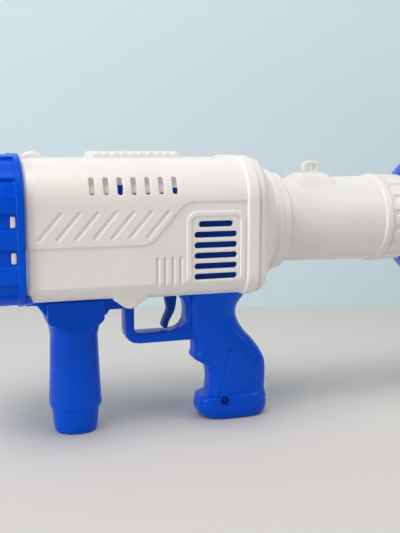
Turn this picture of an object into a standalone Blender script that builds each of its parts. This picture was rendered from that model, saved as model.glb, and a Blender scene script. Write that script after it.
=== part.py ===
"""Bubble blower in the shape of a shoulder launcher.

The barrel lies along X with the muzzle at -X, the left side faces -Y, and the two grips stand on z = 0.
Lengths along the barrel are measured from the step where the muzzle shroud meets the white body.
"""

import math
from collections import namedtuple

import bmesh
import bpy
from mathutils import Matrix, Vector

MM = 0.001

# Clearances
FIT = 0.3 * MM
SEAM = 0.3 * MM
WELD = 0.001 * MM

# Facets of round shapes
CORNER_STEPS = 5
FACET_STEPS = 3
ROUND_STEPS = 32
HANDLE_SIDES = 28
HOLE_SIDES = 8
SCREW_SIDES = 6
PIN_SIDES = 12
MOTOR_SIDES = 24
HOLE_STEPS = 3
GROOVE_STEPS = 2

# White body
AXIS_HEIGHT = 163 * MM
BODY_LENGTH = 166 * MM
BODY_HALF_WIDTH = 54 * MM
BODY_HALF_HEIGHT = 52.3 * MM
TOP_CORNER_RADIUS = 32 * MM
BOTTOM_CORNER_RADIUS = 18 * MM
BODY_WALL = 2.2 * MM
NOSE_INSET = 2.2 * MM
NOSE_LENGTH = 8 * MM
RIM_LENGTH = 9 * MM
RIM_PROUD = 1.6 * MM
GROOVE_LENGTH = 2 * MM
GROOVE_DEPTH = 1 * MM
RIDGE_LENGTH = 5 * MM
CONE_INSET = 3.4 * MM
CONE_LENGTH = 15.5 * MM
CONE_END_RADIUS = 42 * MM
LIP_LENGTH = 4 * MM
LIP_PROUD = 0.8 * MM
END_RING_LENGTH = 7.5 * MM
END_RING_RADIUS = 39.6 * MM
END_WALL = 2.5 * MM

# Openings and engraving of the body
SLOT_COUNT = 7
SLOT_START = 47.7 * MM
SLOT_PITCH = 10.2 * MM
SLOT_WIDTH = 4.2 * MM
SLOT_LENGTH = 13.7 * MM
SLOT_TILT = math.radians(23)
STRIPE_START = 7.9 * MM
STRIPE_PITCH = 13.1 * MM
STRIPE_RUN = 18.4 * MM
STRIPE_RISE = 21 * MM
STRIPE_WIDTH = 4 * MM
STRIPE_LOW = -5.9 * MM
ENGRAVE_DEPTH = 0.8 * MM
STEP_DEPTH = 0.6 * MM
STEP_LOW = -10.8 * MM
STEP_AHEAD = 76 * MM
PANEL_FRONT = 50.5 * MM
PANEL_BITE = 0.2 * MM
PANEL_TOP = 20.3 * MM
PANEL_BOTTOM = -47 * MM
PANEL_DEPTH = 0.9 * MM
PANEL_CORNER = 1.5 * MM
FRAME_AHEAD = 48.4 * MM
FRAME_BEHIND = 2.2 * MM
FRAME_UP = 13.1 * MM
FRAME_DOWN = -45 * MM
FRAME_SLANT = 9 * MM
FRAME_WIDTH = 3.7 * MM
VENT_COUNT = 6
VENT_PITCH = 7.9 * MM
VENT_TOP = 3.5 * MM
VENT_HEIGHT = 4.8 * MM
VENT_LENGTH = 34.4 * MM
VENT_TOP_LENGTH = 27.6 * MM
VENT_MIDDLE = 25.3 * MM
SCREEN_MARGIN = 3 * MM
SCREEN_STAND_OFF = 4 * MM
SCREEN_THICKNESS = 1.5 * MM
SCREEN_POST = 1.8 * MM
NOTCH_COUNT = 4
NOTCH_PITCH = 5.95 * MM
NOTCH_END = 53.2 * MM
NOTCH_WIDTH = 2.4 * MM
NOTCH_TOP = -20.3 * MM
NOTCH_BOTTOM = -41.5 * MM
FRONT_LUG_X = 11.4 * MM
FRONT_LUG_RADIUS = 9.1 * MM
FRONT_LUG_HEIGHT = 4.7 * MM
FRONT_LUG_HALF = 4 * MM
SIDE_LUG_X = 76.4 * MM
SIDE_LUG_RADIUS = 8.6 * MM
SIDE_LUG_DROP = 6.8 * MM
SIDE_LUG_INSET = 3 * MM
SIDE_LUG_DEPTH = 10 * MM

# Screws
SCREW_RADIUS = 1.25 * MM
SCREW_HEAD_RADIUS = 2.6 * MM
SCREW_HEAD_HEIGHT = 2.4 * MM
SCREW_DOME = 0.6
BOSS_RADIUS = 3.6 * MM
BODY_SCREW_SEAT = 8 * MM
BODY_SCREW_LENGTH = 20 * MM
SCREW_FRONT = 34 * MM
SCREW_SLOTS = 5.5
SCREW_LUG_GAP = 12.6 * MM
FRAME_SCREW_SEAT = 5.5 * MM
FRAME_SCREW_LENGTH = 13 * MM
GRIP_SCREW_SEAT = 9 * MM
BASE_SCREW_BEHIND = 14 * MM
CLAMP_SCREW_LIFT = 7 * MM
CLAMP_SCREW_SEAT = 12 * MM
CLAMP_SCREW_LENGTH = 25 * MM

# Top rail
RAIL_START = 54.4 * MM
RAIL_BUMPS = 10
RAIL_PITCH = 6.8 * MM
RAIL_HALF_WIDTH = 20 * MM
RAIL_THICKNESS = 2.6 * MM
RAIL_BUMP_HEIGHT = 2.4 * MM
RAIL_BUMP_HALF = 2.9 * MM
RAIL_STEPS = 4

# Blue muzzle shroud and nozzle plate
SHROUD_LENGTH = 40 * MM
SHROUD_PROUD = 3.5 * MM
SHROUD_WALL = 6.5 * MM
SHROUD_CHAMFER = 1.2 * MM
FLANGE_LENGTH = 5.2 * MM
POCKET_DEPTH = 2.4 * MM
POCKET_WIDTH = 11.8 * MM
POCKETS_PER_ARC = 8
POCKET_DATUM = -3.8 * MM
WINDOW_LENGTH = 3.2 * MM
WINDOW_HEIGHT = 8 * MM
LIP_THICKNESS = 2.5 * MM
MOUTH_RADIUS = 47.5 * MM
PLATE_THICKNESS = 3 * MM
NOZZLE_RADIUS = 4.4 * MM
NOZZLE_RINGS = 3
NOZZLE_RING_PITCH = 13 * MM

# Tail
TUBE_RADIUS = 34.3 * MM
TUBE_END_RADIUS = 35.9 * MM
TUBE_WALL = 2.2 * MM
TUBE_LENGTH = 85 * MM
TUBE_FLANGE_LENGTH = 3 * MM
TUBE_FLANGE_PROUD = 2.7 * MM
RING_LENGTH = 9.5 * MM
RING_PROUD = 1.8 * MM
COLLAR_LENGTH = 20.5 * MM
COLLAR_RADIUS = 36.8 * MM
COLLAR_SEAT_INSET = 2 * MM
FLUTE_COUNT = 18
FLUTE_DEPTH = 1 * MM
BELL_LENGTH = 17.5 * MM
BELL_LIP_LENGTH = 1 * MM
BELL_NECK_RADIUS = 36.2 * MM
BELL_NECK_LENGTH = 3.5 * MM
BELL_RADIUS = 50.5 * MM
BELL_WALL = 2.4 * MM
BELL_SLEEVE_LENGTH = 11 * MM
SADDLE_START = 10.7 * MM
SADDLE_LENGTH = 41 * MM
SADDLE_SLOPE = 5 * MM
SADDLE_THICKNESS = 3.3 * MM
SADDLE_HALF_WIDTH = 22 * MM
LOOP_START = 13.7 * MM
LOOP_WIDTH = 19.1 * MM
LOOP_RISE = 10 * MM
LOOP_HALF = 3 * MM
LOOP_HOLE_LENGTH = 6.6 * MM
LOOP_HOLE_HEIGHT = 5.5 * MM
LOOP_HOLE_LIFT = 1 * MM

# Blue lower frame; distances ahead of the body's rim, and drops below the body
FRAME_HALF = 9 * MM
FRAME_FRONT = 3 * MM
RAIL_DROP_FRONT = 7 * MM
RAIL_DROP = 13.4 * MM
BRACKET_START = 11.5 * MM
BRACKET_SLANT = 7.5 * MM
BRACKET_GAP = 12.3 * MM
BRACKET_DROP = 17.4 * MM
GUARD_FRONT = 85.7 * MM
GUARD_LEG = 7.3 * MM
GUARD_DROP = 43 * MM
GUARD_BAR = 8.6 * MM
GUARD_CORNER = 11 * MM
GUARD_TOP_DROP = 4.6 * MM
GUARD_REAR_CENTRE = 49.6 * MM
GRIP_JOIN = 24 * MM
KEY_HEIGHT = 5.8 * MM
KEY_FRONT = 12.5 * MM
KEY_REAR = 10.5 * MM
GRIP_SQUARENESS = 3
GRIP_HALF = 17 * MM
BASE_HEIGHT = 18.6 * MM
BASE_PROUD = 2 * MM
HOLLOW_AHEAD = 8 * MM

# Trigger and switch
TRIGGER_AHEAD = 46.4 * MM
TRIGGER_LIFT = 0.5 * MM
TRIGGER_HALF = 5 * MM
TRIGGER_BOSS = 4 * MM
TRIGGER_SLOT_GAP = 0.4 * MM
PIN_RADIUS = 1.5 * MM
NOSE_REACH = 12 * MM
NOSE_HALF_HEIGHT = 2 * MM
NOSE_HALF_WIDTH = 2.5 * MM
SWITCH_DROP = 9 * MM
PLUNGER_RADIUS = 3 * MM
PLUNGER_HEAD_LENGTH = 1.7 * MM
PLUNGER_FLANGE_RADIUS = 3.8 * MM
PLUNGER_FLANGE_LENGTH = 2 * MM
PLUNGER_TAIL_RADIUS = 1.6 * MM
PLUNGER_TAIL_LENGTH = 4.8 * MM
SPRING_RADIUS = 2.7 * MM
SPRING_WIRE = 0.4 * MM
SPRING_LENGTH = 7 * MM
SPRING_TURNS = 4
SPRING_POINTS = 10
SWITCH_LENGTH = 13 * MM
SWITCH_HALF_WIDTH = 3.2 * MM
SWITCH_HEIGHT = 7 * MM
SWITCH_CORNER = 1 * MM
LEAD_CHANNEL = 6 * MM

# Battery pack and its door
PACK_LENGTH = 20 * MM
PACK_HEIGHT = 27 * MM
PACK_HALF = 10 * MM
PACK_CORNER = 4 * MM
PACK_MARGIN = 7.2 * MM
DOOR_AHEAD = 9.6 * MM
DOOR_BOTTOM = 21.5 * MM
DOOR_TOP = 58.5 * MM
DOOR_TOP_LENGTH = 21 * MM
DOOR_LEAN = 8.4 * MM
DOOR_LENGTH = 30.4 * MM
DOOR_SLANT = 10.2 * MM
DOOR_TAB_RADIUS = 4.6 * MM
DOOR_TAB_HEIGHT = 16.5 * MM
DOOR_SCREW_SEAT = 15 * MM
DOOR_SCREW_LENGTH = 10 * MM

# Foregrip
FOREGRIP_X = 40.5 * MM
COLLAR_HALF_LENGTH = 23.6 * MM
COLLAR_HALF_WIDTH = 16 * MM
COLLAR_TOP_DROP = 4.4 * MM
COLLAR_FLOOR = 5 * MM
NECK_RADIUS = 18.4 * MM
HANDLE_RADIUS = 20.7 * MM
HANDLE_FLATNESS = 0.92
HANDLE_WAIST = 0.6
HANDLE_SQUARENESS = 2.2
COLLAR_START = 0.35
COLLAR_SQUARENESS = 12
FOOT_ROUND = 3 * MM
FOOT_HEIGHT = 20.5 * MM
FOOT_STEP = 2 * MM
FOOT_TAPER = 1.6 * MM
HANDLE_WALL = 2.4 * MM

# Blower
FAN_RADIUS = 24 * MM
FAN_HALF_WIDTH = 11 * MM
FAN_DISC = 1.5 * MM
FAN_BLADES = 11
FAN_STEPS = 24
FAN_BLADE_ROOT = 15 * MM
FAN_BLADE_THICKNESS = 1.2 * MM
FAN_SWEEP = 0.32
FAN_HUB_RADIUS = 4 * MM
FAN_AHEAD = 28.2 * MM
FAN_DROP = 14 * MM
SCROLL_STEPS = 16
SCROLL_START = math.radians(170)
SCROLL_SWEEP = math.radians(280)
SCROLL_START_RADIUS = 27.5 * MM
SCROLL_END_RADIUS = 36 * MM
SCROLL_HALF_WIDTH = 14 * MM
SCROLL_WALL = 2 * MM
OUTLET_LENGTH = 71.8 * MM
OUTLET_DROP = 44 * MM
EYE_RADIUS = 17 * MM
FLANGE_RIM = 6 * MM
FLANGE_PLATE = 3 * MM
FOOT_LENGTH = 16 * MM
FOOT_HALF = 8 * MM
DUCT_WALL = 1.8 * MM
MOTOR_RADIUS = 10 * MM
MOTOR_FLAT = 7.5 * MM
MOTOR_LENGTH = 25 * MM
MOTOR_SLEEVE = 8 * MM
SHAFT_RADIUS = 1 * MM
SHAFT_SIDES = 10
SHAFT_SEAT = 10 * MM
END_CAP_LENGTH = 3.5 * MM
MOTOR_GAP = 1.2 * MM

# Colours
WHITE = (0.86, 0.86, 0.84)
BLUE = (0.012, 0.10, 0.56)
DEEP_BLUE = (0.008, 0.06, 0.38)
STEEL = (0.60, 0.60, 0.62)
BLACK = (0.02, 0.02, 0.02)
PACK_GREEN = (0.05, 0.30, 0.12)

Place = namedtuple("Place", "x z seat length")
Section = namedtuple("Section", "half_width half_height top_radius bottom_radius")
BODY = Section(BODY_HALF_WIDTH, BODY_HALF_HEIGHT, TOP_CORNER_RADIUS, BOTTOM_CORNER_RADIUS)

# Places worked out from the sizes above
SHROUD_INSIDE = SHROUD_PROUD - SHROUD_WALL
SPIGOT_OFFSET = SHROUD_INSIDE - FIT
PLATE_FRONT = -SHROUD_LENGTH + LIP_THICKNESS + FIT
PLATE_BACK = PLATE_FRONT + PLATE_THICKNESS
SPIGOT_FRONT = PLATE_BACK + FIT
RIM_END = BODY_LENGTH + RIM_LENGTH
RIDGE_START = RIM_END + GROOVE_LENGTH
CONE_START = RIDGE_START + RIDGE_LENGTH
CONE_END = CONE_START + CONE_LENGTH
LIP_END = CONE_END + LIP_LENGTH
BODY_END = LIP_END + END_RING_LENGTH
TUBE_START = BODY_END - END_WALL - FIT - TUBE_FLANGE_LENGTH
RING_START = BODY_END + TUBE_LENGTH
RING_END = RING_START + RING_LENGTH
TUBE_END = RING_END + FIT + COLLAR_LENGTH
BELL_START = TUBE_END + FIT
BELL_END = BELL_START + BELL_LENGTH + BELL_LIP_LENGTH
MIDDLE_X = (BELL_END - SHROUD_LENGTH) / 2
BODY_TOP = AXIS_HEIGHT + BODY_HALF_HEIGHT
BODY_BOTTOM = AXIS_HEIGHT - BODY_HALF_HEIGHT
FRAME_TOP = BODY_BOTTOM - FIT
PIVOT_X = BODY_LENGTH - TRIGGER_AHEAD
PIVOT_Z = FRAME_TOP + TRIGGER_LIFT
SWITCH_Z = PIVOT_Z - SWITCH_DROP
PLUNGER_X = PIVOT_X + NOSE_REACH + FIT
FAN_X = BODY_LENGTH - FAN_AHEAD
VENT_X = BODY_LENGTH - VENT_MIDDLE
STEP_TURN = BODY_LENGTH - STEP_AHEAD
BRACKET_END = BODY_LENGTH - GUARD_FRONT - BRACKET_GAP
STRIPE_SLOPE = STRIPE_RUN / STRIPE_RISE
SCREEN_FACE = BODY_HALF_WIDTH - BODY_WALL - SCREEN_STAND_OFF
MOTOR_START = SCROLL_HALF_WIDTH + SCROLL_WALL + FIT
MOTOR_END = MOTOR_START + MOTOR_LENGTH + FIT + END_CAP_LENGTH
FAN_Y = SCREEN_FACE - SCREEN_THICKNESS - MOTOR_GAP - MOTOR_END
FAN_Z = AXIS_HEIGHT - FAN_DROP
JOINT_X = FAN_X - OUTLET_LENGTH
OUTLET_TOP = FAN_Z + SCROLL_END_RADIUS
OUTLET_LOW = OUTLET_TOP - OUTLET_DROP
DOOR_FRONT = BODY_LENGTH - DOOR_AHEAD
PACK_START = DOOR_FRONT + PACK_MARGIN
PACK_LOW = DOOR_BOTTOM + PACK_MARGIN
PACK_TOP = PACK_LOW + PACK_HEIGHT
BAY_HALF = PACK_HALF + FIT


def new_object(name, mesh):
    """Put a finished bmesh into the scene as an object."""
    data = bpy.data.meshes.new(name)
    mesh.to_mesh(data)
    mesh.free()
    item = bpy.data.objects.new(name, data)
    bpy.context.scene.collection.objects.link(item)
    return item


def evaluated_mesh(item):
    """Return a new mesh of the object as its modifiers or curve settings make it."""
    bpy.context.view_layer.update()
    depsgraph = bpy.context.evaluated_depsgraph_get()
    return bpy.data.meshes.new_from_object(item.evaluated_get(depsgraph))


def welded(name, item, placement):
    """Turn a curve or a screwed profile into a closed mesh object, moved by placement."""
    data = evaluated_mesh(item)
    bpy.data.objects.remove(item)
    mesh = bmesh.new()
    mesh.from_mesh(data)
    bpy.data.meshes.remove(data)
    bmesh.ops.transform(mesh, matrix=placement, verts=mesh.verts)
    close_up(mesh)
    bmesh.ops.recalc_face_normals(mesh, faces=mesh.faces)
    return new_object(name, mesh)


def close_up(mesh):
    """Merge points that fall together and drop what is left without an area."""
    bmesh.ops.remove_doubles(mesh, verts=mesh.verts, dist=WELD)
    bmesh.ops.dissolve_degenerate(mesh, edges=mesh.edges, dist=WELD)
    loose = [edge for edge in mesh.edges if not edge.link_faces]
    bmesh.ops.delete(mesh, geom=loose, context="EDGES")


def combine(target, tool, operation):
    """Apply a Boolean of tool to target and drop the tool."""
    modifier = target.modifiers.new(operation, "BOOLEAN")
    modifier.operation = operation
    modifier.solver = "EXACT"
    modifier.object = tool
    result = evaluated_mesh(target)
    target.modifiers.clear()
    mesh = bmesh.new()
    mesh.from_mesh(result)
    close_up(mesh)
    mesh.to_mesh(result)
    mesh.free()
    target.data = result
    bpy.data.objects.remove(tool)


def joined(name, items):
    """Put separate solids into one object, as one tool for a Boolean."""
    mesh = bmesh.new()
    for item in items:
        mesh.from_mesh(item.data)
        bpy.data.objects.remove(item)
    return new_object(name, mesh)


def loft(name, rings):
    """Skin closed rings of as many points each, with flat ends."""
    mesh = bmesh.new()
    loops = [[mesh.verts.new(point) for point in ring] for ring in rings]
    for near, far in zip(loops, loops[1:]):
        for i, corner in enumerate(near):
            after = (i + 1) % len(near)
            mesh.faces.new((corner, near[after], far[after], far[i]))
    mesh.faces.new(loops[0])
    mesh.faces.new(loops[-1])
    bmesh.ops.remove_doubles(mesh, verts=mesh.verts, dist=WELD)
    bmesh.ops.triangulate(mesh, faces=[face for face in mesh.faces if len(face.verts) == 4])
    bmesh.ops.recalc_face_normals(mesh, faces=mesh.faces)
    return new_object(name, mesh)


def box(name, low, high):
    """Box between two corners."""
    low = Vector(low)
    high = Vector(high)
    mesh = bmesh.new()
    place = Matrix.LocRotScale((low + high) / 2, None, high - low)
    bmesh.ops.create_cube(mesh, size=1, matrix=place)
    return new_object(name, mesh)


def rod(name, start, end, radius, sides):
    """Cylinder between two points."""
    start = Vector(start)
    end = Vector(end)
    turn = Vector((0, 0, 1)).rotation_difference(end - start).to_matrix().to_4x4()
    mesh = bmesh.new()
    bmesh.ops.create_cone(mesh, cap_ends=True, segments=sides, radius1=radius, radius2=radius,
                          depth=(end - start).length, matrix=Matrix.Translation((start + end) / 2) @ turn)
    return new_object(name, mesh)


def cross_rod(name, spot, low_y, high_y, radius, sides):
    """Cylinder across the object, at a spot given in X and Z."""
    x, z = spot
    return rod(name, (x, low_y, z), (x, high_y, z), radius, sides)


def barrel_rod(name, low_x, high_x, radius):
    """Cylinder on the axis of the barrel."""
    return rod(name, (low_x, 0, AXIS_HEIGHT), (high_x, 0, AXIS_HEIGHT), radius, ROUND_STEPS)


# The planes that outlines are drawn in: seen from the left side, and seen from the front
SIDE_PLANE = Matrix(((1, 0, 0, 0), (0, 0, -1, 0), (0, 1, 0, 0), (0, 0, 0, 1)))
END_PLANE = Matrix(((0, 0, 1, 0), (1, 0, 0, 0), (0, 1, 0, 0), (0, 0, 0, 1)))


def prism(name, outlines, plane, middle, thickness):
    """Extrude a flat outline, with any holes as further outlines, centred at middle."""
    curve = bpy.data.curves.new(name, "CURVE")
    curve.dimensions = "2D"
    curve.fill_mode = "BOTH"
    curve.extrude = thickness / 2
    for outline in outlines:
        spline = curve.splines.new("POLY")
        spline.points.add(len(outline) - 1)
        for point, (across, up) in zip(spline.points, outline):
            point.co = (across, up, 0, 1)
        spline.use_cyclic_u = True
    item = bpy.data.objects.new(name, curve)
    bpy.context.scene.collection.objects.link(item)
    return welded(name, item, Matrix.Translation(middle) @ plane)


def side_prism(name, outlines, low_y, high_y):
    """Extrude an outline in X and Z across the object, from low_y to high_y."""
    return prism(name, outlines, SIDE_PLANE, (0, (low_y + high_y) / 2, 0), high_y - low_y)


def turned(name, profile, origin, direction, steps):
    """Turn a closed profile of (radius, along) points about an axis."""
    mesh = bmesh.new()
    points = [mesh.verts.new((radius, 0, along)) for radius, along in profile]
    for near, far in zip(points, points[1:] + points[:1]):
        mesh.edges.new((near, far))
    item = new_object(name, mesh)
    screw = item.modifiers.new("turn", "SCREW")
    screw.steps = steps
    screw.render_steps = steps
    screw.use_merge_vertices = True
    screw.merge_threshold = WELD
    turn = Vector((0, 0, 1)).rotation_difference(Vector(direction)).to_matrix().to_4x4()
    return welded(name, item, Matrix.Translation(origin) @ turn)


def arc(centre, radius, start, end, steps):
    """Points on an arc, in degrees."""
    angles = [math.radians(start + (end - start) * i / steps) for i in range(steps + 1)]
    return [(centre[0] + radius * math.cos(a), centre[1] + radius * math.sin(a)) for a in angles]


def rectangle(low, high):
    """Corners of a rectangle, in turn."""
    return [low, (high[0], low[1]), high, (low[0], high[1])]


def circle(centre, radius, sides):
    """Closed outline of a circle."""
    return arc(centre, radius, 0, 360, sides)[:-1]


def stadium(start, end, width, steps):
    """Closed outline of a slot with round ends, its end centres at start and end."""
    heading = math.degrees(math.atan2(end[1] - start[1], end[0] - start[0]))
    far = arc(end, width / 2, heading - 90, heading + 90, steps)
    near = arc(start, width / 2, heading + 90, heading + 270, steps)
    return far + near


def rounded(corners, radius, steps=4):
    """Closed outline of a polygon with each corner rounded by the same radius."""
    outline = []
    for i, corner in enumerate(corners):
        here = Vector(corner)
        back = (Vector(corners[i - 1]) - here).normalized()
        ahead = (Vector(corners[(i + 1) % len(corners)]) - here).normalized()
        half_angle = back.angle(ahead) / 2
        centre = here + (back + ahead).normalized() * radius / math.sin(half_angle)
        first = here + back * radius / math.tan(half_angle) - centre
        last = here + ahead * radius / math.tan(half_angle) - centre
        for step in range(steps + 1):
            spoke = first.lerp(last, step / steps).normalized() * radius
            outline.append(tuple(centre + spoke))
    return outline


def smooth(points, steps):
    """Closed Catmull-Rom outline through the points."""
    outline = []
    count = len(points)
    for i in range(count):
        before, start, end, after = (Vector(points[(i + k) % count]) for k in (-1, 0, 1, 2))
        for step in range(steps):
            t = step / steps
            outline.append(tuple(0.5 * (2 * start + (end - before) * t
                                        + (2 * before - 5 * start + 4 * end - after) * t * t
                                        + (3 * start - before - 3 * end + after) * t ** 3)))
    return outline


def offset(section, distance):
    """Section whose outline is moved outwards by a distance."""
    return Section(*(size + distance for size in section))


def round_section(radius):
    """Section that is a full circle."""
    return Section(radius, radius, radius, radius)


def section_outline(section, steps=CORNER_STEPS):
    """Points (y, z) round a section, by its four corner arcs."""
    wide_top = section.half_width - section.top_radius
    high_top = AXIS_HEIGHT + section.half_height - section.top_radius
    wide_low = section.half_width - section.bottom_radius
    high_low = AXIS_HEIGHT - section.half_height + section.bottom_radius
    outline = arc((wide_top, high_top), section.top_radius, 0, 90, steps)
    outline += arc((-wide_top, high_top), section.top_radius, 90, 180, steps)
    outline += arc((-wide_low, high_low), section.bottom_radius, 180, 270, steps)
    outline += arc((wide_low, high_low), section.bottom_radius, 270, 360, steps)
    return outline


def section_loft(name, stations, steps=CORNER_STEPS):
    """Loft sections along the barrel, each given as (x, section)."""
    return loft(name, [[(x, y, z) for y, z in section_outline(section, steps)] for x, section in stations])


def oval_ring(z, low_x, high_x, half_width, squareness, sides):
    """Level ring of a superellipse between two x values."""
    points = []
    for i in range(sides):
        angle = math.tau * i / sides
        lean = math.copysign(abs(math.cos(angle)) ** (2 / squareness), math.cos(angle))
        swell = math.copysign(abs(math.sin(angle)) ** (2 / squareness), math.sin(angle))
        points.append(((low_x + high_x) / 2 + lean * (high_x - low_x) / 2, swell * half_width, z))
    return points


def both_sides(name, outlines, inner, outer):
    """The same outline extruded on the left and on the right side."""
    left = side_prism(name, outlines, -outer, -inner)
    right = side_prism(name, outlines, inner, outer)
    return [left, right]


def halves(whole, name):
    """Split a solid along the middle plane into a left and a right half."""
    reach = 10 * BODY_HALF_WIDTH
    pieces = []
    for side, low, high in (("left", -reach, -SEAM / 2), ("right", SEAM / 2, reach)):
        piece = bpy.data.objects.new(f"{name}_{side}", whole.data.copy())
        bpy.context.scene.collection.objects.link(piece)
        combine(piece, box("half_space", (-reach, low, -reach), (reach, high, reach)), "INTERSECT")
        pieces.append(piece)
    bpy.data.objects.remove(whole)
    return pieces


def screw_hole(place, side):
    """Counterbored hole along Y for a screw that goes in from the left (-1) or the right (1)."""
    bottom = -place.length - FIT
    outside = 2 * BODY_HALF_WIDTH - place.seat
    shank = SCREW_RADIUS + FIT
    head = SCREW_HEAD_RADIUS + FIT
    profile = [(0, bottom), (shank, bottom), (shank, 0), (head, 0), (head, outside), (0, outside)]
    return turned("screw_hole", profile, (place.x, side * place.seat, place.z), (0, side, 0), HOLE_SIDES)


def boss_columns(places):
    """Columns across the object that the screws stand in."""
    reach = 2 * BODY_HALF_WIDTH
    return joined("bosses", [cross_rod("boss", (place.x, place.z), -reach, reach, BOSS_RADIUS, HOLE_SIDES)
                             for place in places.values()])


def screw_holes(places):
    """Holes for screws that go in from the right."""
    return joined("screw_holes", [screw_hole(place, 1) for place in places.values()])


def screw(name, place, side):
    """Pan-head screw along Y with its head on the seat."""
    top = SCREW_HEAD_HEIGHT
    profile = [(0, -place.length), (SCREW_RADIUS, -place.length), (SCREW_RADIUS, FIT),
               (SCREW_HEAD_RADIUS, FIT), (SCREW_HEAD_RADIUS, SCREW_DOME * top),
               (SCREW_DOME * SCREW_HEAD_RADIUS, top), (0, top)]
    return turned(name, profile, (place.x, side * place.seat, place.z), (0, side, 0), SCREW_SIDES)


def body_screws():
    """Screws that hold the body's halves."""
    low = BODY_BOTTOM + BODY_WALL + 1.6 * BOSS_RADIUS
    high = BODY_TOP - BODY_WALL - 2.2 * BOSS_RADIUS
    spots = {
        "front_top": (SCREW_FRONT, high),
        "middle_top": (SLOT_START + SCREW_SLOTS * SLOT_PITCH, high - BOSS_RADIUS),
        "rear_top": (BODY_LENGTH - BOSS_RADIUS, high - BOSS_RADIUS),
        "front_bottom": (SCREW_FRONT, low),
        "middle_bottom": (SIDE_LUG_X + SCREW_LUG_GAP, low),
        "rear_bottom": (BODY_LENGTH + RIM_LENGTH / 2, low + BOSS_RADIUS / 2),
    }
    return {name: Place(x, z, BODY_SCREW_SEAT, BODY_SCREW_LENGTH) for name, (x, z) in spots.items()}


def body_outside(name, clearance):
    """Outer form of the white body, from the spigot in the shroud to the end ring round the tail."""
    spigot = offset(BODY, SPIGOT_OFFSET)
    rim = offset(BODY, RIM_PROUD)
    stations = [
        (SPIGOT_FRONT, spigot), (0, spigot),
        (0, offset(BODY, -NOSE_INSET)), (0.3 * NOSE_LENGTH, offset(BODY, -0.4 * NOSE_INSET)),
        (NOSE_LENGTH, BODY),
        (BODY_LENGTH, BODY), (BODY_LENGTH, rim), (RIM_END, rim),
        (RIM_END, offset(BODY, -GROOVE_DEPTH)), (RIDGE_START, offset(BODY, -GROOVE_DEPTH)),
        (RIDGE_START, offset(BODY, -0.5 * GROOVE_DEPTH)), (CONE_START, offset(BODY, -0.75 * CONE_INSET)),
        (CONE_START, offset(BODY, -CONE_INSET)), (CONE_END, round_section(CONE_END_RADIUS)),
        (CONE_END, round_section(CONE_END_RADIUS + LIP_PROUD)),
        (LIP_END, round_section(CONE_END_RADIUS + 0.5 * LIP_PROUD)),
        (LIP_END, round_section(END_RING_RADIUS + LIP_PROUD)), (BODY_END, round_section(END_RING_RADIUS)),
    ]
    return section_loft(name, [(x, offset(section, clearance)) for x, section in stations])


def body_cavity():
    """Space inside the body, with the screw bosses left standing across it."""
    spigot = offset(BODY, SPIGOT_OFFSET - BODY_WALL)
    inside = offset(BODY, -BODY_WALL)
    behind_groove = offset(BODY, -GROOVE_DEPTH - BODY_WALL)
    stations = [
        (SPIGOT_FRONT - SHROUD_LENGTH, spigot), (BODY_WALL, spigot), (NOSE_LENGTH, inside),
        (BODY_LENGTH, inside), (RIM_END - BODY_WALL, behind_groove),
        (CONE_START - BODY_WALL, offset(BODY, -CONE_INSET - BODY_WALL)),
        (CONE_END - BODY_WALL, round_section(CONE_END_RADIUS - BODY_WALL)),
        (BODY_END - END_WALL, round_section(END_RING_RADIUS - BODY_WALL)),
    ]
    cavity = section_loft("cavity", stations)
    combine(cavity, boss_columns(body_screws()), "DIFFERENCE")
    return cavity


def body_lugs():
    """Rounded lug on the top, lugs on the lower corners and snap tabs for the shroud's windows."""
    low = BODY_TOP + FRONT_LUG_HEIGHT - FRONT_LUG_RADIUS
    sunk = BODY_TOP - 0.7 * BODY_WALL
    start = math.degrees(math.asin((sunk - low) / FRONT_LUG_RADIUS))
    top_lug = side_prism("top_lug", [arc((FRONT_LUG_X, low), FRONT_LUG_RADIUS, start, 180 - start, 8)],
                         -FRONT_LUG_HALF, FRONT_LUG_HALF)
    side_lug = circle((SIDE_LUG_X, BODY_BOTTOM - SIDE_LUG_DROP + SIDE_LUG_RADIUS), SIDE_LUG_RADIUS, 16)
    outer = BODY_HALF_WIDTH - SIDE_LUG_INSET
    lugs = [top_lug] + both_sides("side_lug", [side_lug], outer - SIDE_LUG_DEPTH, outer)
    spigot = BODY_HALF_WIDTH + SPIGOT_OFFSET
    for z in window_heights():
        for side in (-1, 1):
            low_y, high_y = sorted((side * (spigot - BODY_WALL / 2), side * (spigot + POCKET_DEPTH)))
            half = WINDOW_HEIGHT / 2 - FIT
            lugs.append(box("snap_tab", (-FLANGE_LENGTH - WINDOW_LENGTH + FIT, low_y, z - half),
                            (-FLANGE_LENGTH - FIT, high_y, z + half)))
    return joined("lugs", lugs)


def body_steps():
    """Lower part of each side, one small step below the field of slanted grooves."""
    turn = AXIS_HEIGHT + STEP_LOW
    edge = BODY_LENGTH - PANEL_FRONT - PANEL_CORNER
    outline = [(NOSE_LENGTH / 2, turn), (STEP_TURN, turn), (edge, turn + (edge - STEP_TURN) / STRIPE_SLOPE),
               (edge, BODY_BOTTOM), (NOSE_LENGTH / 2, BODY_BOTTOM)]
    return joined("steps", both_sides("step", [outline], BODY_HALF_WIDTH - STEP_DEPTH, 2 * BODY_HALF_WIDTH))


def frame_corners(inset):
    """Corners of the raised frame round the vents, with a slanted corner at its upper front."""
    front = BODY_LENGTH - FRAME_AHEAD + inset
    rear = BODY_LENGTH - FRAME_BEHIND - inset
    top = AXIS_HEIGHT + FRAME_UP - inset
    bottom = AXIS_HEIGHT + FRAME_DOWN + inset
    return [(front, bottom), (rear, bottom), (rear, top), (front + FRAME_SLANT, top),
            (front, top - FRAME_SLANT)]


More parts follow.
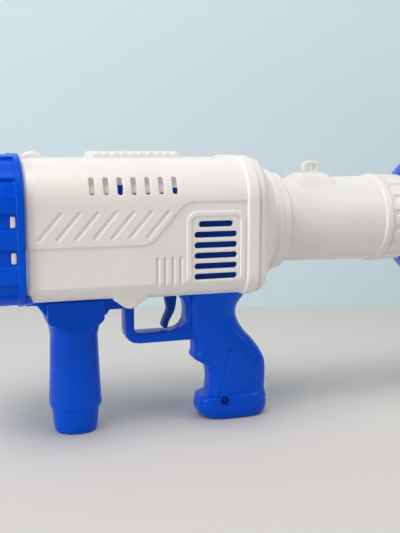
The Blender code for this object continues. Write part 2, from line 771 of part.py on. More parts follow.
def body_panels():
    """Recess from the step to the rim, which leaves a raised frame standing round the vents."""
    front = BODY_LENGTH - PANEL_FRONT
    rear = BODY_LENGTH + PANEL_BITE
    top = AXIS_HEIGHT + PANEL_TOP
    bottom = AXIS_HEIGHT + PANEL_BOTTOM
    recess = rounded(rectangle((front, bottom), (rear, top)), PANEL_CORNER, 1)
    frame_outer = rounded(frame_corners(0), PANEL_CORNER, 1)
    frame_inner = rounded(frame_corners(FRAME_WIDTH), PANEL_CORNER, 1)
    depth = BODY_HALF_WIDTH - PANEL_DEPTH
    cutters = both_sides("recess", [recess, frame_outer], depth, 2 * BODY_HALF_WIDTH)
    cutters += both_sides("vent_field", [frame_inner], depth, 2 * BODY_HALF_WIDTH)
    return joined("panels", cutters)


def body_slots():
    """Slots on the upper corners, slanted grooves, upright notches and the vents."""
    cutters = []
    corner_y = BODY_HALF_WIDTH - TOP_CORNER_RADIUS
    corner_z = BODY_TOP - TOP_CORNER_RADIUS
    half = (SLOT_LENGTH - SLOT_WIDTH) / 2
    for side in (-1, 1):
        lean = Matrix.Rotation(side * SLOT_TILT, 4, "X")
        place = Matrix.Translation((0, side * corner_y, corner_z)) @ lean
        skin = side * TOP_CORNER_RADIUS
        for i in range(SLOT_COUNT):
            x = SLOT_START + i * SLOT_PITCH
            slot = side_prism("slot", [stadium((x, -half), (x, half), SLOT_WIDTH, HOLE_STEPS)],
                              skin - 4 * BODY_WALL, skin + 4 * BODY_WALL)
            slot.data.transform(place)
            cutters.append(slot)
    engraved = BODY_HALF_WIDTH - ENGRAVE_DEPTH
    outside = 2 * BODY_HALF_WIDTH
    last = STEP_TURN + STRIPE_SLOPE * (STRIPE_LOW - STEP_LOW) - STRIPE_WIDTH
    for i in range(1 + int((last - STRIPE_START) / STRIPE_PITCH)):
        x = STRIPE_START + i * STRIPE_PITCH
        low = AXIS_HEIGHT + STRIPE_LOW
        stripe = stadium((x, low), (x + STRIPE_RUN, low + STRIPE_RISE), STRIPE_WIDTH, GROOVE_STEPS)
        cutters += both_sides("stripe", [stripe], engraved, outside)
    for i in range(NOTCH_COUNT):
        x = BODY_LENGTH - NOTCH_END - i * NOTCH_PITCH
        low = AXIS_HEIGHT + NOTCH_BOTTOM
        high = AXIS_HEIGHT + NOTCH_TOP
        notch = stadium((x, low), (x, high), NOTCH_WIDTH, GROOVE_STEPS)
        cutters += both_sides("notch", [notch], engraved - STEP_DEPTH, outside)
    for i in range(VENT_COUNT):
        z = AXIS_HEIGHT + VENT_TOP - i * VENT_PITCH
        length = VENT_LENGTH if i else VENT_TOP_LENGTH
        run = (length - VENT_HEIGHT) / 2
        vent = stadium((VENT_X - run, z), (VENT_X + run, z), VENT_HEIGHT, HOLE_STEPS)
        cutters += both_sides("vent", [vent], BODY_HALF_WIDTH - 4 * BODY_WALL, outside)
    return joined("slots", cutters)


def build_body():
    """Two white half shells."""
    shell = body_outside("body", 0)
    combine(shell, body_cavity(), "DIFFERENCE")
    tail_hole = barrel_rod("tail_hole", CONE_END, BODY_END + END_WALL, TUBE_RADIUS + 2 * FIT)
    combine(shell, tail_hole, "DIFFERENCE")
    combine(shell, body_lugs(), "UNION")
    combine(shell, body_steps(), "DIFFERENCE")
    combine(shell, body_panels(), "DIFFERENCE")
    combine(shell, body_slots(), "DIFFERENCE")
    combine(shell, screw_holes(body_screws()), "DIFFERENCE")
    key = box("key_hole", (PIVOT_X - KEY_FRONT - FIT, -FRAME_HALF - FIT, BODY_BOTTOM - BODY_WALL),
              (PIVOT_X + KEY_REAR + FIT, FRAME_HALF + FIT, BODY_BOTTOM + 2 * BODY_WALL))
    lead_x = switch_end()
    lead = box("lead_hole", (lead_x - LEAD_CHANNEL, -LEAD_CHANNEL / 2, BODY_BOTTOM - BODY_WALL),
               (lead_x, LEAD_CHANNEL / 2, BODY_BOTTOM + 2 * BODY_WALL))
    combine(shell, joined("floor_holes", [key, lead]), "DIFFERENCE")
    return halves(shell, "body_shell")


def build_vent_screen(name, side):
    """Blue plate behind the vents of one side, on four posts, so that air passes round its edges."""
    wall = BODY_HALF_WIDTH - BODY_WALL
    near = SCREEN_FACE
    low_x = VENT_X - VENT_LENGTH / 2 - SCREEN_MARGIN
    high_x = VENT_X + VENT_LENGTH / 2 + SCREEN_MARGIN
    high_z = AXIS_HEIGHT + VENT_TOP + VENT_HEIGHT / 2 + SCREEN_MARGIN
    low_z = AXIS_HEIGHT + VENT_TOP - (VENT_COUNT - 1) * VENT_PITCH - VENT_HEIGHT / 2 - SCREEN_MARGIN
    low_y, high_y = sorted((side * near, side * (near - SCREEN_THICKNESS)))
    screen = box(name, (low_x, low_y, low_z), (high_x, high_y, high_z))
    bottom_flat = BODY_BOTTOM + BOTTOM_CORNER_RADIUS + SCREEN_POST
    for x in (low_x + SCREEN_POST, high_x - SCREEN_POST):
        for z in (bottom_flat, high_z - SCREEN_POST):
            post = rod("post", (x, side * (near - SCREEN_THICKNESS / 2), z), (x, side * (wall - FIT), z),
                       SCREEN_POST * 0.8, HOLE_SIDES)
            combine(screen, post, "UNION")
    return screen


def build_rail():
    """Ribbed strip that sits on the top of the body."""
    base = BODY_TOP + FIT + RAIL_THICKNESS
    length = RAIL_BUMPS * RAIL_PITCH
    low = BODY_TOP - TOP_CORNER_RADIUS / 4
    outline = [(RAIL_START, low), (RAIL_START + length, low)]
    for i in reversed(range(RAIL_BUMPS)):
        middle = RAIL_START + (i + 0.5) * RAIL_PITCH
        for across, up in arc((0, 0), 1, 0, 180, RAIL_STEPS):
            outline.append((middle + RAIL_BUMP_HALF * across, base + RAIL_BUMP_HEIGHT * up))
    rail = side_prism("top_rail", [outline], -RAIL_HALF_WIDTH, RAIL_HALF_WIDTH)
    combine(rail, body_outside("body_top", FIT), "DIFFERENCE")
    return rail


def pocket_places():
    """Places of the shroud's pockets, as (y, z, outward angle), evenly round it."""
    section = offset(BODY, SHROUD_PROUD)
    outline = [Vector(point) for point in section_outline(section, 24)]
    half = len(outline) // 2
    right = Vector((section.half_width, AXIS_HEIGHT + POCKET_DATUM))
    left = Vector((-section.half_width, AXIS_HEIGHT + POCKET_DATUM))
    return along_path([right] + outline[:half] + [left]) + along_path([left] + outline[half:] + [right])


def along_path(path):
    """Middles of even steps along a path, with the angle of its outward normal."""
    runs = [(far - near).length for near, far in zip(path, path[1:])]
    places = []
    for k in range(POCKETS_PER_ARC):
        rest = sum(runs) * (k + 0.5) / POCKETS_PER_ARC
        i = 0
        while rest > runs[i]:
            rest -= runs[i]
            i += 1
        heading = (path[i + 1] - path[i]).normalized()
        spot = path[i] + heading * rest
        places.append((spot.x, spot.y, math.atan2(-heading.x, heading.y)))
    return places


def window_heights():
    """Heights of the two pockets on each side that carry a snap window."""
    on_side = [z for y, z, angle in pocket_places() if abs(angle) < math.radians(5)]
    return sorted(on_side, key=lambda z: abs(z - AXIS_HEIGHT - POCKET_DATUM))[:2]


def build_shroud():
    """Blue ring over the front of the body, with pockets between its two flanges."""
    flange = offset(BODY, SHROUD_PROUD)
    trimmed = offset(BODY, SHROUD_PROUD - SHROUD_CHAMFER)
    stations = [(-SHROUD_LENGTH, trimmed), (-SHROUD_LENGTH + SHROUD_CHAMFER, flange),
                (-FIT - SHROUD_CHAMFER / 2, flange), (-FIT, trimmed)]
    shroud = section_loft("muzzle_shroud", stations, FACET_STEPS)
    inside = offset(BODY, SHROUD_INSIDE)
    bore = section_loft("bore", [(-SHROUD_LENGTH + LIP_THICKNESS, inside), (NOSE_LENGTH, inside)])
    combine(shroud, bore, "DIFFERENCE")
    mouth = barrel_rod("mouth", -2 * SHROUD_LENGTH, -SHROUD_LENGTH + 2 * LIP_THICKNESS, MOUTH_RADIUS)
    combine(shroud, mouth, "DIFFERENCE")
    pockets = []
    front = -SHROUD_LENGTH + FLANGE_LENGTH
    for y, z, angle in pocket_places():
        pocket = box("pocket", (front, -POCKET_DEPTH, -POCKET_WIDTH / 2),
                     (-FLANGE_LENGTH, POCKET_DEPTH, POCKET_WIDTH / 2))
        pocket.data.transform(Matrix.Translation((0, y, z)) @ Matrix.Rotation(angle, 4, "X"))
        pockets.append(pocket)
    combine(shroud, joined("pockets", pockets), "DIFFERENCE")
    windows = [box("window", (-FLANGE_LENGTH - WINDOW_LENGTH, -2 * BODY_HALF_WIDTH, z - WINDOW_HEIGHT / 2),
                   (-FLANGE_LENGTH, 2 * BODY_HALF_WIDTH, z + WINDOW_HEIGHT / 2)) for z in window_heights()]
    combine(shroud, joined("windows", windows), "DIFFERENCE")
    return shroud


def nozzle_centres():
    """Middle nozzle and rings of six, twelve, eighteen and so on round it."""
    centres = [(0, AXIS_HEIGHT)]
    for ring in range(1, NOZZLE_RINGS + 1):
        centres += circle((0, AXIS_HEIGHT), ring * NOZZLE_RING_PITCH, 6 * ring)
    return centres


def build_nozzle_plate():
    """Plate of short tubes, clamped between the shroud's lip and the body's spigot."""
    seat = section_outline(offset(BODY, SPIGOT_OFFSET))
    holes = [circle(centre, NOZZLE_RADIUS, HOLE_SIDES) for centre in nozzle_centres()]
    middle = ((PLATE_FRONT + PLATE_BACK) / 2, 0, 0)
    return prism("nozzle_plate", [seat] + holes, END_PLANE, middle, PLATE_THICKNESS)


def build_tail_tube():
    """Tail tube: a flange held inside the body's end ring, a raised ring, and a seat for the collar."""
    bore = TUBE_RADIUS - TUBE_WALL
    seat = TUBE_END_RADIUS - COLLAR_SEAT_INSET
    flange = TUBE_RADIUS + TUBE_FLANGE_PROUD
    flange_end = TUBE_START + TUBE_FLANGE_LENGTH
    ring = TUBE_END_RADIUS + RING_PROUD
    profile = [(bore, TUBE_START), (flange, TUBE_START), (flange, flange_end), (TUBE_RADIUS, flange_end),
               (TUBE_RADIUS, BODY_END), (TUBE_END_RADIUS, RING_START), (ring, RING_START),
               (ring, RING_END), (seat, RING_END), (seat, TUBE_END), (bore, TUBE_END)]
    return turned("tail_tube", profile, (0, 0, AXIS_HEIGHT), (1, 0, 0), ROUND_STEPS)


def build_tail_collar():
    """Fluted ring on the end of the tail tube."""
    flutes = []
    for i in range(4 * FLUTE_COUNT):
        radius = COLLAR_RADIUS - FLUTE_DEPTH * (i % 4 in (2, 3))
        angle = math.tau * (i + 0.5) / (4 * FLUTE_COUNT)
        flutes.append((radius * math.cos(angle), AXIS_HEIGHT + radius * math.sin(angle)))
    seat = circle((0, AXIS_HEIGHT), TUBE_END_RADIUS - COLLAR_SEAT_INSET + FIT, ROUND_STEPS)
    middle = ((RING_END + FIT + TUBE_END) / 2, 0, 0)
    return prism("tail_collar", [flutes, seat], END_PLANE, middle, COLLAR_LENGTH)


def build_tail_bell():
    """Flared blue dish, with a sleeve that plugs into the tail tube."""
    sleeve = TUBE_RADIUS - TUBE_WALL - FIT
    sleeve_end = BELL_START - BELL_SLEEVE_LENGTH
    flare_end = BELL_START + BELL_LENGTH
    lip = BELL_RADIUS - BELL_WALL
    neck = BELL_NECK_RADIUS - BELL_WALL
    neck_end = BELL_START + BELL_NECK_LENGTH
    profile = [(0, BELL_START), (sleeve - BELL_WALL, BELL_START), (sleeve - BELL_WALL, sleeve_end),
               (sleeve, sleeve_end), (sleeve, BELL_START), (BELL_NECK_RADIUS, BELL_START),
               (BELL_NECK_RADIUS, neck_end), (BELL_RADIUS, flare_end), (BELL_RADIUS, BELL_END),
               (lip, BELL_END), (lip, flare_end), (neck, neck_end + BELL_WALL / 2),
               (neck, BELL_START + BELL_WALL), (0, BELL_START + BELL_WALL)]
    return turned("tail_bell", profile, (0, 0, AXIS_HEIGHT), (1, 0, 0), ROUND_STEPS)


def build_saddle():
    """Pad with a strap loop, bent to the tail tube that it sits on."""
    start = BODY_END + SADDLE_START
    end = start + SADDLE_LENGTH
    radius = TUBE_END_RADIUS + SADDLE_THICKNESS
    pad_top = AXIS_HEIGHT + radius
    pad_low = pad_top - SADDLE_THICKNESS
    low = AXIS_HEIGHT + TUBE_RADIUS / 3
    outline = [(start, low), (end, low), (end, pad_low), (end - SADDLE_SLOPE, pad_top + FIT),
               (start + SADDLE_SLOPE, pad_top + FIT), (start, pad_low)]
    saddle = side_prism("strap_saddle", [outline], -SADDLE_HALF_WIDTH, SADDLE_HALF_WIDTH)
    pad_round = barrel_rod("pad_round", start - LOOP_WIDTH, end + LOOP_WIDTH, radius)
    combine(saddle, pad_round, "INTERSECT")
    left = start + LOOP_START
    middle = left + LOOP_WIDTH / 2
    shoulder = pad_top + LOOP_RISE - LOOP_WIDTH / 2
    arch = arc((middle, shoulder), LOOP_WIDTH / 2, 0, 180, 10)
    arch += [(left, pad_low), (left + LOOP_WIDTH, pad_low)]
    hole_low = pad_top + LOOP_HOLE_LIFT
    half = LOOP_HOLE_LENGTH / 2
    hole = rounded(rectangle((middle - half, hole_low), (middle + half, hole_low + LOOP_HOLE_HEIGHT)),
                   LOOP_HOLE_HEIGHT / 4, 2)
    combine(saddle, side_prism("loop", [arch, hole], -LOOP_HALF, LOOP_HALF), "UNION")
    slope = (TUBE_END_RADIUS - TUBE_RADIUS) / TUBE_LENGTH
    seat = [(0, end + LOOP_WIDTH), (0, start - LOOP_WIDTH)]
    for x in (start - LOOP_WIDTH, end + LOOP_WIDTH):
        seat.append((TUBE_RADIUS + slope * (x - BODY_END) + FIT, x))
    combine(saddle, turned("saddle_seat", seat, (0, 0, AXIS_HEIGHT), (1, 0, 0), ROUND_STEPS), "DIFFERENCE")
    return saddle


def guard_opening():
    """Finger opening: square in front, a half circle behind."""
    low = FRAME_TOP - GUARD_DROP + GUARD_BAR
    high = FRAME_TOP - GUARD_TOP_DROP
    radius = (high - low) / 2
    front = BODY_LENGTH - GUARD_FRONT + GUARD_LEG
    centre = BODY_LENGTH - GUARD_REAR_CENTRE
    return arc((centre, low + radius), radius, -90, 90, 12) + [(front, high), (front, low)]


def frame_plate():
    """Rail under the body, foregrip bracket, trigger guard and the key that rises into the body."""
    rear = BODY_LENGTH - GRIP_JOIN
    guard_x = BODY_LENGTH - GUARD_FRONT
    guard_low = FRAME_TOP - GUARD_DROP
    key_top = FRAME_TOP + KEY_HEIGHT
    bracket_low = FRAME_TOP - BRACKET_DROP
    outline = [(FRAME_FRONT, FRAME_TOP), (FRAME_FRONT, FRAME_TOP - RAIL_DROP_FRONT),
               (BRACKET_START, FRAME_TOP - RAIL_DROP_FRONT),
               (BRACKET_START + BRACKET_SLANT, bracket_low), (BRACKET_END, bracket_low),
               (BRACKET_END, FRAME_TOP - RAIL_DROP), (guard_x, FRAME_TOP - RAIL_DROP)]
    outline += arc((guard_x + GUARD_CORNER, guard_low + GUARD_CORNER), GUARD_CORNER, 180, 270, 5)
    key_front = PIVOT_X - KEY_FRONT
    key_rear = PIVOT_X + KEY_REAR
    outline += [(rear, guard_low), (rear, FRAME_TOP), (key_rear, FRAME_TOP), (key_rear, key_top),
                (key_front, key_top), (key_front, FRAME_TOP)]
    return side_prism("frame_plate", [outline, guard_opening()], -FRAME_HALF, FRAME_HALF)


def grip_loft(name):
    """Pistol grip: a flared base on the floor, a waist, a palm swell and a narrow neck under the body.

    Each level is a height, the distances of the front and the back edge ahead of and behind the body's rim
    in millimetres, and the swell of the half width.
    """
    guard_low = FRAME_TOP - GUARD_DROP

    def base(share):
        return share * BASE_HEIGHT

    def palm(share):
        return BASE_HEIGHT + share * (guard_low - BASE_HEIGHT)

    def neck(share):
        return guard_low + share * (FRAME_TOP - guard_low)

    levels = [
        (base(0), 15.5, 28, BASE_PROUD - 3 * MM),
        (base(0.06), 19.5, 32, BASE_PROUD - 1.5 * MM),
        (base(0.19), 22.8, 34.5, BASE_PROUD - 0.6 * MM),
        (base(0.4), 24.8, 35.6, BASE_PROUD),
        (base(0.65), 25.2, 36, BASE_PROUD),
        (base(0.86), 24.4, 35.7, BASE_PROUD),
        (base(1), 22.8, 35.2, BASE_PROUD - 0.5 * MM),
        (palm(0.04), 17.5, 34.6, 0),
        (palm(0.11), 16.2, 34.4, 0),
        (palm(0.22), 15.5, 34.6, 0),
        (palm(0.33), 15.3, 34.8, 0),
        (palm(0.43), 16, 34.8, 0),
        (palm(0.52), 18.2, 34.5, 0),
        (palm(0.58), 22.2, 34, 0),
        (palm(0.64), 27, 32.8, 0),
        (palm(0.7), 29.2, 31.2, 0),
        (palm(0.8), 28.3, 28.4, 0),
        (palm(0.89), 28.4, 25, 0),
        (palm(0.955), 28.8, 22.6, -0.2 * MM),
        (neck(0.1), 29.5, 16.6, -0.5 * MM),
        (neck(0.28), 30, 11.8, -1 * MM),
        (neck(0.47), 30.5, 9, -1 * MM),
        (neck(0.63), 30.5, 10.3, -0.5 * MM),
        (neck(0.81), 30, 17, 1 * MM),
        (neck(1), 30, 22, 3 * MM),
    ]
    return loft(name, [oval_ring(z, BODY_LENGTH - ahead * MM, BODY_LENGTH + behind * MM, GRIP_HALF + swell,
                                 GRIP_SQUARENESS, HANDLE_SIDES) for z, ahead, behind, swell in levels])


def switch_end():
    """Rear face of the switch pocket."""
    return (PLUNGER_X + PLUNGER_HEAD_LENGTH + PLUNGER_FLANGE_LENGTH + SPRING_LENGTH + 2 * FIT
            + SWITCH_LENGTH + FIT)


def door_outline(clearance):
    """Battery door: slanted upper rear corner, and a tab for its screw at the lower front."""
    front = DOOR_FRONT - clearance
    rear = DOOR_FRONT + DOOR_LENGTH + clearance
    top = DOOR_TOP + clearance
    bottom = DOOR_BOTTOM - clearance
    tab = DOOR_TAB_RADIUS + clearance
    tab_x = front + tab
    outline = [(rear, bottom), (rear, top - DOOR_SLANT), (front + DOOR_TOP_LENGTH + clearance, top),
               (front + DOOR_LEAN, top)]
    outline += arc((tab_x, DOOR_TAB_HEIGHT), tab, 180, 360, 8)
    outline.append((tab_x + tab, bottom))
    return outline


def door_screw():
    """Place of the door's screw, in the middle of its tab."""
    return Place(DOOR_FRONT + DOOR_TAB_RADIUS, DOOR_TAB_HEIGHT, DOOR_SCREW_SEAT, DOOR_SCREW_LENGTH)


def frame_screws():
    """Screws that hold the frame's halves."""
    leg = BODY_LENGTH - GUARD_FRONT + GUARD_LEG / 2
    neck = BODY_LENGTH - GRIP_JOIN
    return {
        "leg": Place(leg, FRAME_TOP - RAIL_DROP - GUARD_LEG / 2, FRAME_SCREW_SEAT, FRAME_SCREW_LENGTH),
        "neck": Place(neck, FRAME_TOP - GUARD_DROP + GUARD_BAR, FRAME_SCREW_SEAT, FRAME_SCREW_LENGTH),
        "base": Place(BODY_LENGTH + BASE_SCREW_BEHIND, BASE_HEIGHT / 2, GRIP_SCREW_SEAT, BODY_SCREW_LENGTH),
    }


def foregrip_screws():
    """Screws that hold the foregrip's halves and clamp them on the bracket."""
    floor = FRAME_TOP - BRACKET_DROP
    return {
        "collar": Place(FOREGRIP_X, floor + CLAMP_SCREW_LIFT, CLAMP_SCREW_SEAT, CLAMP_SCREW_LENGTH),
        "middle": Place(FOREGRIP_X, 0.55 * floor, BODY_SCREW_SEAT, BODY_SCREW_LENGTH),
        "foot": Place(FOREGRIP_X, 0.17 * floor, BODY_SCREW_SEAT, BODY_SCREW_LENGTH),
    }


def build_frame():
    """Two blue halves of the rail, guard and pistol grip, and the battery door cut from the left one."""
    grip = grip_loft("grip")
    combine(grip, body_outside("rim_room", FIT), "DIFFERENCE")
    frame = frame_plate()
    combine(frame, grip, "UNION")
    slot = TRIGGER_HALF + TRIGGER_SLOT_GAP
    key_top = FRAME_TOP + KEY_HEIGHT
    trigger_room = box("trigger_room", (PIVOT_X - KEY_FRONT + 2 * MM, -slot, SWITCH_Z - SWITCH_HEIGHT / 2),
                       (PIVOT_X + KEY_REAR - 2 * MM, slot, key_top + KEY_HEIGHT))
    combine(frame, trigger_room, "DIFFERENCE")
    nose_top = SWITCH_Z + NOSE_HALF_HEIGHT + SWITCH_HEIGHT / 2
    nose_room = box("nose_room", (PIVOT_X + TRIGGER_BOSS, -slot, SWITCH_Z - SWITCH_HEIGHT / 2),
                    (PLUNGER_X + PLUNGER_HEAD_LENGTH + FIT, slot, nose_top))
    combine(frame, nose_room, "DIFFERENCE")
    pocket_x = switch_end() - SWITCH_LENGTH - 2 * FIT
    bore = rod("plunger_bore", (PLUNGER_X, 0, SWITCH_Z), (pocket_x + FIT, 0, SWITCH_Z),
               PLUNGER_FLANGE_RADIUS + FIT, PIN_SIDES)
    combine(frame, bore, "DIFFERENCE")
    pocket = box("switch_pocket", (pocket_x, -SWITCH_HALF_WIDTH - FIT, SWITCH_Z - SWITCH_HEIGHT / 2 - FIT),
                 (switch_end(), SWITCH_HALF_WIDTH + FIT, SWITCH_Z + SWITCH_HEIGHT / 2 + FIT))
    combine(frame, pocket, "DIFFERENCE")
    hollow_top = SWITCH_Z - SWITCH_HEIGHT
    half = LEAD_CHANNEL / 2
    channel = box("lead_channel", (switch_end() - LEAD_CHANNEL, -half, hollow_top - LEAD_CHANNEL),
                  (switch_end() - FIT, half, FRAME_TOP + KEY_HEIGHT))
    combine(frame, channel, "DIFFERENCE")
    combine(frame, side_prism("battery_bay", [pack_outline(FIT)], -BAY_HALF, BAY_HALF), "DIFFERENCE")
    hollow = box("hollow", (switch_end() - HOLLOW_AHEAD, -0.5 * GRIP_HALF, PACK_TOP - PACK_CORNER),
                 (PACK_START + 2 * PACK_CORNER, 0.5 * GRIP_HALF, hollow_top))
    combine(frame, hollow, "DIFFERENCE")
    opening = side_prism("door_opening", [door_outline(FIT)], -2 * GRIP_HALF, SEAM - BAY_HALF)
    combine(frame, opening, "DIFFERENCE")
    reach = 2 * FRAME_HALF
    pin = cross_rod("pin_hole", (PIVOT_X, PIVOT_Z), -reach, reach, PIN_RADIUS + FIT, PIN_SIDES)
    clamp = foregrip_screws()["collar"]
    clamp_hole = cross_rod("clamp_hole", (clamp.x, clamp.z), -reach, reach, SCREW_RADIUS + FIT, HOLE_SIDES)
    holes = [screw_holes(frame_screws()), screw_hole(door_screw(), -1), clamp_hole, pin]
    combine(frame, joined("frame_holes", holes), "DIFFERENCE")
    return halves(frame, "grip_frame")


def build_door():
    """Battery door: the grip's own skin inside the door's outline."""
    door = grip_loft("battery_door")
    combine(door, side_prism("door_prism", [door_outline(0)], -2 * GRIP_HALF, -BAY_HALF - FIT), "INTERSECT")
    combine(door, screw_hole(door_screw(), -1), "DIFFERENCE")
    return door


def handle_loft(name, inset):
    """Foregrip: an oval handle that swells towards the floor and grows into a square collar."""
    collar_top = FRAME_TOP - COLLAR_TOP_DROP
    collar_low = FRAME_TOP - BRACKET_DROP - FIT
    neck = collar_low - 2 * COLLAR_FLOOR
    foot = HANDLE_RADIUS - FOOT_STEP
    levels = [(0, foot - FOOT_TAPER - FOOT_ROUND / 2), (FOOT_ROUND, foot - FOOT_TAPER), (FOOT_HEIGHT, foot),
              (FOOT_HEIGHT, HANDLE_RADIUS - FOOT_STEP / 4), (FOOT_HEIGHT + FOOT_ROUND, HANDLE_RADIUS),
              (HANDLE_WAIST * neck, (HANDLE_RADIUS + NECK_RADIUS) / 2), (neck, NECK_RADIUS)]
    rings = []
    for z, radius in levels:
        rings.append(oval_ring(z, FOREGRIP_X - radius + inset, FOREGRIP_X + radius - inset,
                               HANDLE_FLATNESS * radius - inset, HANDLE_SQUARENESS, HANDLE_SIDES))
    if not inset:
        grow = COLLAR_HALF_LENGTH - NECK_RADIUS
        shoulder = (collar_low - COLLAR_FLOOR, COLLAR_START * grow, GRIP_SQUARENESS)
        for z, reach, squareness in (shoulder, (collar_low, grow, COLLAR_SQUARENESS),
                                     (collar_top, grow, COLLAR_SQUARENESS)):
            low_x = FOREGRIP_X - NECK_RADIUS - reach
            high_x = FOREGRIP_X + NECK_RADIUS + reach
            rings.append(oval_ring(z, low_x, high_x, COLLAR_HALF_WIDTH, squareness, HANDLE_SIDES))
    return loft(name, rings)


def build_foregrip():
    """Two blue halves of the foregrip, hollow, with a collar that straddles the frame's bracket."""
    grip = handle_loft("foregrip", 0)
    cavity = handle_loft("foregrip_cavity", HANDLE_WALL)
    floor = box("floor", (FOREGRIP_X - 2 * HANDLE_RADIUS, -2 * HANDLE_RADIUS, -HANDLE_RADIUS),
                (FOREGRIP_X + 2 * HANDLE_RADIUS, 2 * HANDLE_RADIUS, HANDLE_WALL))
    combine(cavity, boss_columns(foregrip_screws()), "DIFFERENCE")
    combine(cavity, floor, "DIFFERENCE")
    combine(grip, cavity, "DIFFERENCE")
    half = FRAME_HALF + FIT
    reach = 2 * COLLAR_HALF_LENGTH
    pocket = box("bracket_pocket", (FOREGRIP_X - reach, -half, FRAME_TOP - BRACKET_DROP - FIT),
                 (FOREGRIP_X + reach, half, FRAME_TOP + FIT))
    combine(grip, pocket, "DIFFERENCE")
    combine(grip, screw_holes(foregrip_screws()), "DIFFERENCE")
    return halves(grip, "foregrip")


def build_trigger():
    """Curved trigger on its pin, with a nose behind it that pushes the switch plunger.

    The blade's outline is in millimetres from the pin.
    """
    shape = [(-4.6, 0), (-4.8, -10), (-3.6, -18), (-7.2, -27), (-7.5, -31.2), (-5.2, -32),
             (-2.4, -27), (2.4, -19), (4.4, -9), (4.4, 0)]
    blade = smooth([(PIVOT_X + x * MM, PIVOT_Z + z * MM) for x, z in shape], FACET_STEPS)
    trigger = side_prism("trigger", [blade], -TRIGGER_HALF, TRIGGER_HALF)
    pivot = (PIVOT_X, PIVOT_Z)
    half = TRIGGER_HALF - FIT / 2
    combine(trigger, cross_rod("boss", pivot, -half, half, TRIGGER_BOSS, 16), "UNION")
    nose = box("nose", (PIVOT_X, -NOSE_HALF_WIDTH, SWITCH_Z - NOSE_HALF_HEIGHT),
               (PIVOT_X + NOSE_REACH, NOSE_HALF_WIDTH, SWITCH_Z + NOSE_HALF_HEIGHT))
    combine(trigger, nose, "UNION")
    bore = cross_rod("bore", pivot, -FRAME_HALF, FRAME_HALF, PIN_RADIUS + FIT, PIN_SIDES)
    combine(trigger, bore, "DIFFERENCE")
    pin = cross_rod("trigger_pin", pivot, FIT - FRAME_HALF, FRAME_HALF - FIT, PIN_RADIUS, PIN_SIDES)
    return trigger, pin


def build_switch():
    """Plunger behind the trigger's nose, its return spring, and the switch that the spring bears on."""
    flange = PLUNGER_HEAD_LENGTH + PLUNGER_FLANGE_LENGTH
    tail = flange + PLUNGER_TAIL_LENGTH
    profile = [(0, 0), (PLUNGER_RADIUS, 0), (PLUNGER_RADIUS, PLUNGER_HEAD_LENGTH),
               (PLUNGER_FLANGE_RADIUS, PLUNGER_HEAD_LENGTH), (PLUNGER_FLANGE_RADIUS, flange),
               (PLUNGER_TAIL_RADIUS, flange), (PLUNGER_TAIL_RADIUS, tail), (0, tail)]
    plunger = turned("switch_plunger", profile, (PLUNGER_X, 0, SWITCH_Z), (1, 0, 0), PIN_SIDES)
    start = PLUNGER_X + flange + FIT
    front = start + SPRING_LENGTH + FIT
    middle = (front + SWITCH_LENGTH / 2, 0, SWITCH_Z)
    half = SWITCH_HEIGHT / 2
    outline = rounded(rectangle((-SWITCH_LENGTH / 2, -half), (SWITCH_LENGTH / 2, half)), SWITCH_CORNER, 1)
    case = prism("micro_switch", [outline], SIDE_PLANE, middle, 2 * SWITCH_HALF_WIDTH)
    return plunger, build_spring(start), case


def build_spring(start):
    """Return spring: one helix of wire."""
    curve = bpy.data.curves.new("return_spring", "CURVE")
    curve.dimensions = "3D"
    curve.bevel_depth = SPRING_WIRE
    curve.bevel_resolution = 0
    curve.use_fill_caps = True
    spline = curve.splines.new("POLY")
    count = SPRING_TURNS * SPRING_POINTS
    spline.points.add(count)
    run = SPRING_LENGTH - 2 * SPRING_WIRE
    for i, point in enumerate(spline.points):
        angle = math.tau * i / SPRING_POINTS
        point.co = (start + SPRING_WIRE + run * i / count, SPRING_RADIUS * math.cos(angle),
                    SWITCH_Z + SPRING_RADIUS * math.sin(angle), 1)
    item = bpy.data.objects.new("return_spring", curve)
    bpy.context.scene.collection.objects.link(item)
    return welded("return_spring", item, Matrix.Identity(4))


def pack_outline(clearance):
    """Battery pack seen from the side."""
    low = (PACK_START - clearance, PACK_LOW - clearance)
    high = (PACK_START + PACK_LENGTH + clearance, PACK_TOP + clearance)
    return rounded(rectangle(low, high), PACK_CORNER + clearance, FACET_STEPS)


def scroll_outline(wall):
    """Fan scroll seen from the left: a growing spiral that leaves forward along a straight outlet."""
    outline = []
    for i in range(SCROLL_STEPS + 1):
        share = i / SCROLL_STEPS
        angle = SCROLL_START + SCROLL_SWEEP * share
        radius = SCROLL_START_RADIUS + (SCROLL_END_RADIUS - SCROLL_START_RADIUS) * share + wall
        outline.append((FAN_X + radius * math.cos(angle), FAN_Z + radius * math.sin(angle)))
    end = JOINT_X if wall else JOINT_X - FLANGE_PLATE
    outline += [(end, OUTLET_TOP + wall), (end, OUTLET_LOW - wall)]
    return outline


def beside_screen(*items):
    """Moves pieces of the blower sideways, to where the motor's end clears the right screen."""
    for item in items:
        item.data.transform(Matrix.Translation((0, FAN_Y, 0)))
    return items


